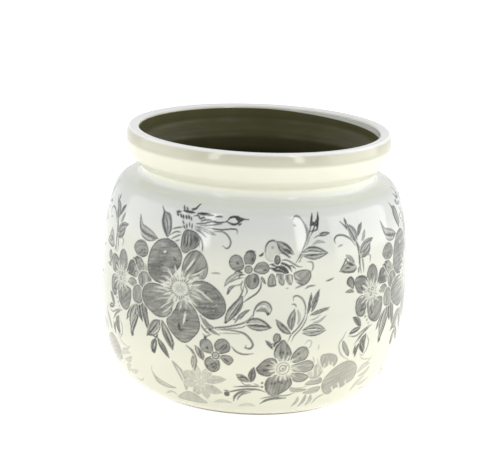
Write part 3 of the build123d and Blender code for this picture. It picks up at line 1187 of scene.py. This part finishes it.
def nearest(at, line):
    """Each place's distance to a line, the share of the line nearest to it, and whether a closed line holds it."""
    step = np.diff(line, axis=0)
    arm = at[:, None] - line[:-1]
    share = np.clip((arm * step).sum(2) / np.maximum((step**2).sum(1), 1e-9), 0, 1)
    gap = np.hypot(*np.moveaxis(arm - share[..., None] * step, 2, 0))
    best = gap.argmin(1)
    rows = np.arange(len(at))
    rise = step[:, 1] + 1e-9
    crossed = (arm[..., 1] * (arm[..., 1] - step[:, 1]) < 0) & (arm[..., 0] < arm[..., 1] / rise * step[:, 0])
    return gap[rows, best], (best + share[rows, best]) / len(step), crossed.sum(1) % 2 == 1


def soft(value, low, high):
    """0 below low, 1 above high, and a smooth rise between."""
    share = np.clip((value - low) / (high - low), 0, 1)
    return share * share * (3 - 2 * share)


def cloud(at, direction, length, width):
    """Smooth noise from -1 to 1 in patches of a length and a width, in millimetres, that lie along a direction."""
    turn = math.radians(direction)
    along = np.array((math.cos(turn), math.sin(turn)))
    cell = np.stack((at @ along / length, at @ (along[::-1] * (-1, 1)) / width), 1)
    low = np.floor(cell).astype(int)
    share = (cell - low) ** 2 * (3 - 2 * (cell - low))
    a, b, c, d = (
        NOISE[(low[:, 0] + i) % len(NOISE), (low[:, 1] + j) % len(NOISE)] for i, j in ((0, 0), (1, 0), (0, 1), (1, 1))
    )
    across = share[:, 0]
    return (a + across * (b - a)) * (1 - share[:, 1]) + (c + across * (d - c)) * share[:, 1]


class Ink:
    """The print's tones over a grid of places: 0 is bare glaze and 1 full ink, as the eye sees them.

    All places, widths and the soft edges between two distances are in millimetres.
    """

    def __init__(self, across, height):
        self.across, self.height = across, height
        self.tone = np.zeros((len(height), len(across)))

    def near(self, line, margin):
        """The part of the grid within a margin of a line's box, and its places."""
        low, high = line.min(0) - margin, line.max(0) + margin
        rows = slice(*np.searchsorted(self.height, (low[1], high[1])))
        columns = slice(*np.searchsorted(self.across, (low[0], high[0])))
        at = np.stack(np.meshgrid(self.across[columns], self.height[rows]), -1)
        return self.tone[rows, columns], at.reshape(-1, 2)

    def lay(self, part, cover, tone):
        """Lays a tone over a part of the grid."""
        part += (np.clip(cover, 0, 1) * (tone - part.ravel())).reshape(part.shape)

    def petal(self, line, tone, direction):
        """A petal: engraved strokes along it, a darker edge and a bare gap round it."""
        line = curve(line, True)
        part, at = self.near(line, 1.2)
        gap, _, held = nearest(at, line)
        inside = np.where(held, gap, -gap)
        self.lay(part, soft(inside, -0.85, -0.35), BARE)
        strokes = cloud(at, direction, 6, 0.75) + 0.5 * cloud(at, direction + 12, 3, 0.5)
        mottle = cloud(at, 0, 5, 5) + 0.5 * cloud(at, 0, 1, 1)
        rim = (0.2 + 0.32 * soft(tone, 0.26, 0.38)) * soft(-inside, -0.55, -0.15)
        self.lay(part, soft(inside, -0.2, 0.2), 1.04 * tone * (1 + 0.27 * strokes + 0.14 * mottle) + rim)

    def leaf(self, line, tone, width):
        """A leaf: pointed at both ends, dark-edged, with a pale midrib where it is wide enough."""
        line = curve(line)
        part, at = self.near(line, width / 2 + 0.8)
        gap, share, _ = nearest(at, line)
        inside = width / 2 * np.sin(math.pi * np.clip(share, 0.02, 0.98)) ** 0.7 - gap
        self.lay(part, soft(inside, -0.6, -0.2), BARE)
        rim = (0.08 + 0.36 * soft(tone, 0.26, 0.4)) * soft(-inside, -0.45, -0.1)
        self.lay(part, soft(inside, -0.2, 0.2), tone * (0.98 + 0.28 * cloud(at, 0, 1.1, 1.1)) + rim)
        if width > 2.1:
            self.lay(part, 0.75 * soft(-gap, -0.4, -0.1) * soft(0.5 - abs(share - 0.5), 0.08, 0.25), 0.1)

    def stroke(self, line, tone, width):
        """One pen stroke, thinner at its ends."""
        line = curve(line)
        part, at = self.near(line, width / 2 + 0.6)
        gap, share, _ = nearest(at, line)
        half = width / 2 * (0.35 + 0.65 * soft(0.5 - abs(share - 0.5), 0, 0.3))
        self.lay(part, soft(half - gap, -0.22, 0.22), tone * (1 + 0.08 * cloud(at, 0, 1, 1)))

    def spot(self, centre, tone, radius):
        """A round spot."""
        part, at = self.near(centre, radius + 0.6)
        self.lay(part, soft(radius - np.hypot(*(at - centre[0]).T), -0.25, 0.25), tone)

    def ring(self, centre, tone, radius):
        """A ring with a bare gap round it."""
        part, at = self.near(centre, radius + 1.2)
        gap = np.hypot(*(at - centre[0]).T)
        self.lay(part, soft(radius + 0.9 - gap, -0.2, 0.2), BARE)
        self.lay(part, soft(0.32 - abs(gap - radius), -0.22, 0.22), tone)

    def rays(self, centre, tone, inner, outer, count, flatness, width):
        """Short strokes of uneven length around a flower's middle."""
        for angle in np.linspace(0, math.tau, int(count), endpoint=False):
            reach = outer * (1 + 0.16 * math.sin(5 * angle + count))
            way = np.array((math.cos(angle), flatness * math.sin(angle)))
            self.stroke(centre + np.array([[inner], [(inner + reach) / 2], [reach]]) * way, tone, width)

    def glow(self, centre, tone, inner, outer, flatness):
        """The light middle of a flower, which streaks out into its petals."""
        part, at = self.near(centre, outer * 1.3)
        arm = (at - centre[0]) / (1, flatness)
        angle = np.arctan2(*arm.T)
        reach = np.hypot(*arm.T) - 0.16 * (outer - inner) * (np.sin(17 * angle) + 0.7 * np.sin(29 * angle + 1))
        self.lay(part, 0.82 * soft(-reach, -outer, -inner), tone)


def gather(points):
    """A mark's places once the sheet is drawn together over the shoulder."""
    share = np.interp(points[:, 1], *GATHER)
    across = GATHER_RADIUS * np.arcsin(share * np.sin(points[:, 0] / GATHER_RADIUS))
    return np.stack((across, points[:, 1] + GATHER_CREEP * (1 - share)), 1)


def paint_design(across, height, repeat):
    """The design's tones over a grid of the sheet, in millimetres, repeated around the pot."""
    ink = Ink(across, height)
    for marks, move in DESIGN:
        for mark in filter(None, marks.replace("\n ", " ").splitlines()):
            if mark.isalpha():
                kind = mark
                continue
            tone, settings, *places = mark.split()
            points = gather(np.array([place.split(",") for place in places], dtype=float) + move)
            first = math.ceil((across[0] - MARK_REACH - points[:, 0].max()) / repeat)
            last = math.floor((across[-1] + MARK_REACH - points[:, 0].min()) / repeat)
            for lap in range(first, last + 1):
                getattr(ink, kind)(points + (lap * repeat, 0), float(tone), *map(float, settings.split(",")))
    return ink.tone


def ink_share(tone):
    """The share of ink to glaze that looks as dark as a tone does between them."""
    shown = GLAZE_SHOWN + (INK_SHOWN - GLAZE_SHOWN) * np.clip(tone, 0, 1)
    light, dark = ((np.array((GLAZE_SHOWN, INK_SHOWN)) + 0.055) / 1.055) ** 2.4
    return (light - ((shown + 0.055) / 1.055) ** 2.4) / (light - dark)


# Materials


def add_node(tree, kind, settings=None, values=None, links=None):
    """Adds a node, sets its options and its sockets' values, and links other nodes' outputs to it."""
    node = tree.nodes.new(kind)
    for name, value in (settings or {}).items():
        setattr(node, name, value)
    for socket, value in (values or {}).items():
        node.inputs[socket].default_value = value
    for socket, output in (links or {}).items():
        tree.links.new(output, node.inputs[socket])
    return node


def new_material(name):
    """An empty node material with its output, and its tree."""
    material = bpy.data.materials.new(name)
    material.use_nodes = True
    material.node_tree.nodes.clear()
    return material, material.node_tree


def mottle(tree, position, size, detail, roughness, low, high):
    """Noise in patches of a size, and the same noise between a low and a high value."""
    noise = add_node(
        tree, "ShaderNodeTexNoise", values={"Scale": 1 / size, "Detail": detail, "Roughness": roughness},
        links={"Vector": position},
    ).outputs["Fac"]
    level = add_node(tree, "ShaderNodeMapRange", values={"To Min": low, "To Max": high}, links={"Value": noise})
    return noise, level.outputs["Result"]


def ivory_colour(tree, pot, colours, position):
    """The ivory glaze's colour by height, faintly cloudy, with light and shade painted in: creamy where the glaze pools
    and lighter there as painted bounce light low on the belly and under the rim band, painted shade in grey on the
    shoulder and in beige on the band's upper face, and a painted white highlight along the lip.
    """
    apart = add_node(tree, "ShaderNodeSeparateXYZ", links={"Vector": position})
    level = add_node(
        tree, "ShaderNodeMapRange", values={"From Max": pot.height}, links={"Value": apart.outputs["Z"]}
    )
    run = add_node(tree, "ShaderNodeValToRGB", links={"Fac": level.outputs["Result"]})
    stops = (
        # Painted bounce light over the glaze's pooling: creamy and light low on the belly.
        (0.0, colours.cream_pool_and_bounce_light),
        (0.22, colours.cream_pool_and_bounce_light),
        (0.42, colours.ivory),
        (0.60, colours.ivory),
        # Painted shade: grey on the upward-facing shoulder.
        (0.74, colours.shoulder),
        (0.825, colours.shoulder),
        # Painted bounce light over the glaze's pooling: creamy and light under the rim band.
        (0.86, colours.cream_pool_and_bounce_light),
        (0.945, colours.cream_pool_and_bounce_light),
        # Painted shade: darker beige on the rim band's upper face.
        (0.957, colours.band),
        (0.989, colours.band),
        # Painted highlight: white along the top of the lip.
        (0.996, colours.lip),
    )
    ramp = run.color_ramp
    while len(ramp.elements) < len(stops):
        ramp.elements.new(1)
    for element, (where, colour) in zip(ramp.elements, stops):
        element.position = where
        element.color = colour
    _, shade = mottle(tree, position, 18 * MM, 2, 0.4, 0.975, 1.02)
    return add_node(
        tree, "ShaderNodeMix", {"data_type": "RGBA", "blend_type": "MULTIPLY"}, {"Factor": 1.0},
        {6: run.outputs["Color"], 7: shade},
    ).outputs[2]


def glaze_finish(tree, position, colour, roughness=0.09, index=1.5, ripple=0.05 * MM):
    """A glossy glaze: glassy, slightly rippled where it flowed in the kiln, with a shine that varies a little."""
    flow, shine = mottle(tree, position, 11 * MM, 1.5, 0.45, roughness * 0.8, roughness * 1.25)
    bump = add_node(tree, "ShaderNodeBump", values={"Strength": 1.0, "Distance": ripple}, links={"Height": flow})
    shader = add_node(
        tree, "ShaderNodeBsdfPrincipled", values={"IOR": index},
        links={"Base Color": colour, "Roughness": shine, "Normal": bump.outputs["Normal"]},
    )
    add_node(tree, "ShaderNodeOutputMaterial", links={"Surface": shader.outputs["BSDF"]})


def make_ivory_glaze(pot, colours):
    """Gloss glaze, ivory: a glassy coat that shows soft-edged lights and a faint unevenness of its own."""
    material, tree = new_material("ivory_gloss_glaze")
    position = add_node(tree, "ShaderNodeTexCoord").outputs["Object"]
    colour = ivory_colour(tree, pot, colours, position)
    glaze_finish(tree, position, colour)
    return material


def make_printed_glaze(pot, colours):
    """Ceramic transfer print under a gloss glaze: grey ink in soft-edged tones, as shiny as the glaze around it."""
    material, tree = new_material("printed_gloss_glaze")
    position = add_node(tree, "ShaderNodeTexCoord").outputs["Object"]
    ink = add_node(tree, "ShaderNodeAttribute", {"attribute_name": "ink"})
    _, speckle = mottle(tree, position, 0.6 * MM, 1, 0.5, 0.86, 1.12)
    share = add_node(
        tree, "ShaderNodeMath", {"operation": "MULTIPLY", "use_clamp": True},
        links={0: ink.outputs["Fac"], 1: speckle},
    )
    ground = ivory_colour(tree, pot, colours, position)
    colour = add_node(
        tree, "ShaderNodeMix", {"data_type": "RGBA"}, {7: colours.ink}, {0: share.outputs[0], 6: ground}
    )
    glaze_finish(tree, position, colour.outputs[2])
    return material


def make_olive_glaze(pot, colours):
    """Gloss glaze, olive: dark, browner low in the pot, with the lip's white run over it on one side.

    It mirrors less than the ivory does, so its index and its roughness are off a clear glaze's own.
    """
    material, tree = new_material("olive_gloss_glaze")
    position = add_node(tree, "ShaderNodeTexCoord").outputs["Object"]
    apart = add_node(tree, "ShaderNodeSeparateXYZ", links={"Vector": position})
    # The inside turns darker and browner towards its bottom, along a wandering edge.
    _, wander = mottle(tree, position, 14 * MM, 2, 0.5, 0.0, 12 * MM)
    height = add_node(tree, "ShaderNodeMath", {"operation": "ADD"}, links={0: wander, 1: apart.outputs["Z"]})
    level = add_node(
        tree, "ShaderNodeMapRange", values={"From Min": pot.height * 0.74, "From Max": pot.height * 1.04},
        links={"Value": height.outputs[0]},
    )
    olive = add_node(
        tree, "ShaderNodeMix", {"data_type": "RGBA"}, {6: colours.olive_deep, 7: colours.olive},
        {0: level.outputs["Result"]},
    )
    side = add_node(tree, "ShaderNodeMath", {"operation": "MAXIMUM"}, {1: 0.0}, {0: apart.outputs["X"]})
    run = add_node(
        tree, "ShaderNodeMath", {"operation": "MULTIPLY_ADD"}, {1: WHITE_RUN},
        {0: side.outputs[0], 2: apart.outputs["Z"]},
    )
    mouth = place(pot, MOUTH_SHARES[-1]).y
    white = add_node(
        tree, "ShaderNodeMapRange", {"interpolation_type": "SMOOTHSTEP"},
        {"From Min": mouth, "From Max": mouth + WHITE_RUN_EDGE}, {"Value": run.outputs[0]},
    )
    colour = add_node(
        tree, "ShaderNodeMix", {"data_type": "RGBA"}, {7: colours.shoulder},
        {0: white.outputs["Result"], 6: olive.outputs[2]},
    )
    glaze_finish(tree, position, colour.outputs[2], 0.34, 1.24)
    return material


def make_bisque(colours):
    """Bisque earthenware: matt and dry, with a fine grit that shows as specks and a slight tooth."""
    material, tree = new_material("bisque_earthenware")
    position = add_node(tree, "ShaderNodeTexCoord").outputs["Object"]
    grit, shade = mottle(tree, position, 0.8 * MM, 3, 0.6, 0.85, 1.1)
    colour = add_node(
        tree, "ShaderNodeMix", {"data_type": "RGBA", "blend_type": "MULTIPLY"}, {"Factor": 1.0, 6: colours.bisque},
        {7: shade},
    )
    bump = add_node(tree, "ShaderNodeBump", values={"Strength": 0.5, "Distance": 0.1 * MM}, links={"Height": grit})
    shader = add_node(
        tree, "ShaderNodeBsdfPrincipled", values={"Roughness": 0.85, "IOR": 1.45},
        links={"Base Color": colour.outputs[2], "Normal": bump.outputs["Normal"]},
    )
    add_node(tree, "ShaderNodeOutputMaterial", links={"Surface": shader.outputs["BSDF"]})
    return material


# Operators


class CACHEPOT_OT_outside_glaze(bpy.types.Operator):
    """Model the ivory coat of the outside, from the foot over the lip to the mouth"""

    bl_idname = "cachepot.outside_glaze"
    bl_label = "Outside glaze"

    def execute(self, context):
        pot = context.scene.pot_sizes
        piece = turn_coat(pot, "outside_ivory_glaze", outside_runs(pot), pot.glaze)
        finish_piece(piece, make_ivory_glaze(pot, context.scene.glaze_colours), "ivory_glaze", "ivory_glaze")
        return {"FINISHED"}


class CACHEPOT_OT_inside_glaze(bpy.types.Operator):
    """Model the olive coat of the inside, from the middle of the floor up to the mouth"""

    bl_idname = "cachepot.inside_glaze"
    bl_label = "Inside glaze"

    def execute(self, context):
        pot = context.scene.pot_sizes
        piece = turn_coat(pot, "inside_olive_glaze", inside_runs(pot), -pot.glaze)
        finish_piece(piece, make_olive_glaze(pot, context.scene.glaze_colours), "olive_glaze", "olive_glaze")
        return {"FINISHED"}


class CACHEPOT_OT_foot(bpy.types.Operator):
    """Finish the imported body's bare foot ring and the glazed recess under it"""

    bl_idname = "cachepot.foot"
    bl_label = "Foot"

    def execute(self, context):
        pot = context.scene.pot_sizes
        colours = context.scene.glaze_colours
        for name, material in (("pot_body", make_bisque(colours)), ("base_glaze", make_ivory_glaze(pot, colours))):
            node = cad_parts[name]
            node.data.materials.clear()
            node.data.materials.append(material)
        return {"FINISHED"}


class CACHEPOT_OT_transfers(bpy.types.Operator):
    """Lay the printed transfer sheets around the belly, the last one cut to close the ring"""

    bl_idname = "cachepot.transfers"
    bl_label = "Printed transfers"

    def execute(self, context):
        pot = context.scene.pot_sizes
        sheets = context.scene.print_sizes
        material = make_printed_glaze(pot, context.scene.glaze_colours)
        names = sorted(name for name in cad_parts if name.startswith("floral_transfer"))
        for number, name in enumerate(names):
            start = sheets.start_angle + number * sheets.sheet_angle
            angle = min(sheets.sheet_angle, math.tau - number * sheets.sheet_angle)
            if angle < sheets.sheet_angle:
                start -= math.tau
            piece = lay_sheet(pot, sheets, name.replace("floral", "printed"), start, angle)
            finish_piece(piece, material, "transfer_ink", name)
        return {"FINISHED"}


def print_zone(pot, sheets):
    """Heights at even steps along the outline under the print, with the radius and the outward normal there."""
    outline = np.array([tuple(point) for run in outside_runs(pot) for point in run.points(ZONE_STEP)])
    along = np.concatenate(([0], np.cumsum(np.hypot(*np.diff(outline, axis=0).T))))
    low, high = (np.interp(height, outline[:, 1], along) for height in (sheets.low, sheets.high))
    places = np.linspace(low, high, ZONE_PLACES)
    zone = np.array([np.interp(places, along, outline[:, i]) for i in (0, 1)]).T
    run = np.gradient(zone, axis=0)
    run /= np.hypot(*run.T)[:, None]
    return zone[:, 1], zone[:, 0], np.stack((run[:, 1], -run[:, 0]), 1), high - low


def lay_sheet(pot, sheets, name, start, angle):
    """One thin closed sheet: a fine grid on top for the print's tones, and a coarse one under it."""
    width = angle * pot.belly_radius - sheets.seam
    heights, radii, slopes, length = print_zone(pot, sheets)
    bpy.ops.object.select_all(action="DESELECT")
    layers = []
    for grain, rows, lift in ((sheets.grain, 1, sheets.film), (UNDER_GRAIN * sheets.grain, UNDER_ROWS, sheets.under)):
        across, upward = round(width / grain), round(rows * length / grain)
        bpy.ops.mesh.primitive_grid_add(x_subdivisions=across, y_subdivisions=upward, size=1)
        layer = bpy.context.object
        points = np.empty(len(layer.data.vertices) * 3)
        layer.data.vertices.foreach_get("co", points)
        points = points.reshape(-1, 3)
        u, z = wrap_sheet(points, pot, start, width, heights, radii, slopes, lift)
        layer.data.vertices.foreach_set("co", points.ravel())
        tones = np.zeros(len(points))
        if lift == sheets.film:
            grid = (upward + 1, across + 1)
            tones = paint_design(u.reshape(grid)[0], z.reshape(grid)[:, 0], sheets.repeat / MM).ravel()
        layer.data.attributes.new("ink", "FLOAT", "POINT").data.foreach_set("value", ink_share(tones))
        layers.append(layer)
    for layer in layers:
        layer.select_set(True)
    bpy.context.view_layer.objects.active = layers[0]
    bpy.ops.object.join()
    piece = bpy.context.object
    piece.name = name
    piece.data.name = name
    bpy.ops.object.mode_set(mode="EDIT")
    bpy.ops.mesh.select_mode(type="EDGE")
    bpy.ops.mesh.select_all(action="DESELECT")
    bpy.ops.mesh.select_non_manifold()
    bpy.ops.mesh.bridge_edge_loops()
    bpy.ops.mesh.select_all(action="SELECT")
    bpy.ops.mesh.normals_make_consistent(inside=False)
    bpy.ops.object.mode_set(mode="OBJECT")
    bpy.ops.object.shade_smooth_by_angle(angle=CREASE)
    return piece


class CACHEPOT_OT_studio(bpy.types.Operator):
    """Set up the floor, the tent, the lights and the camera"""

    bl_idname = "cachepot.studio"
    bl_label = "Studio"

    def execute(self, context):
        studio = context.scene.studio_settings
        make_floor(studio)
        make_tent(context.scene, studio)
        make_lights(studio)
        make_camera(context.scene, studio)
        return {"FINISHED"}


def make_floor(studio):
    """A plain pale floor, seen a little lighter than it is lit, which keeps the pot's shadow."""
    bpy.ops.object.select_all(action="DESELECT")
    bpy.ops.mesh.primitive_plane_add(size=FLOOR_WIDTH)
    floor = bpy.context.object
    floor.name = "floor"
    material, tree = new_material("pale_floor")
    matt = add_node(tree, "ShaderNodeBsdfDiffuse", values={"Color": linear(FLOOR_COLOUR)})
    lift = add_node(tree, "ShaderNodeEmission", values={"Strength": studio.floor_lift})
    both = add_node(tree, "ShaderNodeAddShader", links={0: matt.outputs[0], 1: lift.outputs[0]})
    seen = add_node(
        tree, "ShaderNodeMixShader", links={0: seen_or_mirrored(tree), 1: matt.outputs[0], 2: both.outputs[0]}
    )
    add_node(tree, "ShaderNodeOutputMaterial", links={"Surface": seen.outputs[0]})
    floor.data.materials.append(material)


def seen_or_mirrored(tree):
    """1 for what the camera sees directly, in a reflection or through glass, and 0 for what lights the pot."""
    path = add_node(tree, "ShaderNodeLightPath")
    shown = add_node(
        tree, "ShaderNodeMath", {"operation": "MAXIMUM"},
        links={0: path.outputs["Is Camera Ray"], 1: path.outputs["Is Glossy Ray"]},
    )
    return add_node(
        tree, "ShaderNodeMath", {"operation": "MAXIMUM"},
        links={0: shown.outputs[0], 1: path.outputs["Is Transmission Ray"]},
    ).outputs[0]


def make_tent(scene, studio):
    """A white tent: seen as white, mirrored as white behind the pot, and lighting it most from low down and behind."""
    world = bpy.data.worlds.new("tent")
    scene.world = world
    world.use_nodes = True
    tree = world.node_tree
    tree.nodes.clear()
    way = add_node(tree, "ShaderNodeTexCoord").outputs["Generated"]
    apart = add_node(tree, "ShaderNodeSeparateXYZ", links={"Vector": way})
    upward = add_node(
        tree, "ShaderNodeMapRange", {"interpolation_type": "SMOOTHSTEP"},
        {"From Min": 0.1, "From Max": 0.8, "To Min": studio.surround, "To Max": studio.surround * studio.ceiling},
        {"Value": apart.outputs["Z"]},
    )
    backward = add_node(
        tree, "ShaderNodeMapRange", {"interpolation_type": "SMOOTHSTEP"},
        {"From Min": -1.0, "From Max": 0.5, "To Min": studio.front, "To Max": 1.0}, {"Value": apart.outputs["Y"]},
    )
    light = add_node(
        tree, "ShaderNodeMath", {"operation": "MULTIPLY"},
        links={0: upward.outputs["Result"], 1: backward.outputs["Result"]},
    )
    behind = add_node(
        tree, "ShaderNodeMapRange", {"interpolation_type": "SMOOTHSTEP"}, {"From Min": -0.3, "From Max": 0.2},
        {"Value": apart.outputs["Y"]},
    )
    mirrored = add_node(
        tree, "ShaderNodeMix", {"data_type": "FLOAT"}, {3: 1.0}, {0: behind.outputs["Result"], 2: light.outputs[0]}
    )
    path = add_node(tree, "ShaderNodeLightPath")
    shown = add_node(
        tree, "ShaderNodeMath", {"operation": "MAXIMUM"},
        links={0: path.outputs["Is Camera Ray"], 1: mirrored.outputs[0]},
    )
    level = add_node(
        tree, "ShaderNodeMix", {"data_type": "FLOAT"},
        links={0: seen_or_mirrored(tree), 2: light.outputs[0], 3: shown.outputs[0]},
    )
    tent = add_node(
        tree, "ShaderNodeBackground", values={"Color": (1, 1, 1, 1)}, links={"Strength": level.outputs[0]}
    )
    add_node(tree, "ShaderNodeOutputWorld", links={"Surface": tent.outputs[0]})


def add_panel(name, azimuth, elevation, distance, width, height, power):
    """A soft rectangular light that faces the pot's middle, from an azimuth and elevation in degrees."""
    around, over = math.radians(azimuth), math.radians(elevation)
    away = Vector((math.cos(around) * math.cos(over), math.sin(around) * math.cos(over), math.sin(over)))
    light = bpy.data.lights.new(name, "AREA")
    light.shape = "RECTANGLE"
    light.size = width
    light.size_y = height
    light.energy = power
    lamp = bpy.data.objects.new(name, light)
    lamp.location = Vector(LIT_MIDDLE) + distance * away
    lamp.rotation_euler = away.to_track_quat("Z", "Y").to_euler()
    bpy.context.scene.collection.objects.link(lamp)


def make_lights(studio):
    """Soft light from low in front and from both sides, and the two upright strip lights that the glaze mirrors."""
    for name, (*place, setting, share) in LIGHTS.items():
        add_panel(name, *place, getattr(studio, setting) * share)


def make_camera(scene, studio):
    """The camera at the photograph's place, with its slight roll."""
    back = Vector((0, -math.cos(studio.camera_elevation), math.sin(studio.camera_elevation)))
    right = Vector((1, 0, 0))
    up = back.cross(right)
    turn = Matrix.Rotation(studio.camera_roll, 3, back)
    axes = Matrix((turn @ right, turn @ up, back)).transposed()
    data = bpy.data.cameras.new("camera")
    data.lens = studio.camera_lens
    data.sensor_width = 36
    data.clip_start = 0.01
    data.clip_end = 20
    camera = bpy.data.objects.new("camera", data)
    camera.matrix_world = Matrix.Translation(Vector(CAMERA_TARGET) + studio.camera_distance * back) @ axes.to_4x4()
    scene.collection.objects.link(camera)
    scene.camera = camera
    scene.view_settings.view_transform = "Standard"


class CACHEPOT_PT_pieces(bpy.types.Panel):
    """The cachepot's pieces, in the order in which they are made"""

    bl_idname = "CACHEPOT_PT_pieces"
    bl_label = "Cachepot"
    bl_space_type = "VIEW_3D"
    bl_region_type = "UI"
    bl_category = "Cachepot"

    def draw(self, context):
        for operator in OPERATORS:
            self.layout.operator(operator.bl_idname)


GROUPS = {
    "pot_sizes": PotSizes,
    "glaze_colours": GlazeColours,
    "print_sizes": PrintSizes,
    "studio_settings": StudioSettings,
}
OPERATORS = (
    CACHEPOT_OT_outside_glaze,
    CACHEPOT_OT_inside_glaze,
    CACHEPOT_OT_foot,
    CACHEPOT_OT_transfers,
    CACHEPOT_OT_studio,
)


def register():
    """Registers the settings, the operators and the panel."""
    for name, group in GROUPS.items():
        bpy.utils.register_class(group)
        setattr(bpy.types.Scene, name, PointerProperty(type=group))
    for cls in (*OPERATORS, CACHEPOT_PT_pieces):
        bpy.utils.register_class(cls)


def unregister():
    """Takes the panel, the operators and the settings out again."""
    for cls in (CACHEPOT_PT_pieces, *reversed(OPERATORS)):
        bpy.utils.unregister_class(cls)
    for name, group in reversed(GROUPS.items()):
        delattr(bpy.types.Scene, name)
        bpy.utils.unregister_class(group)


def main():
    """Makes every piece and the studio."""
    register()
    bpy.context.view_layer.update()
    bpy.ops.cachepot.outside_glaze()
    bpy.ops.cachepot.inside_glaze()
    bpy.ops.cachepot.foot()
    bpy.ops.cachepot.transfers()
    bpy.ops.cachepot.studio()


if __name__ == "__main__":
    main()
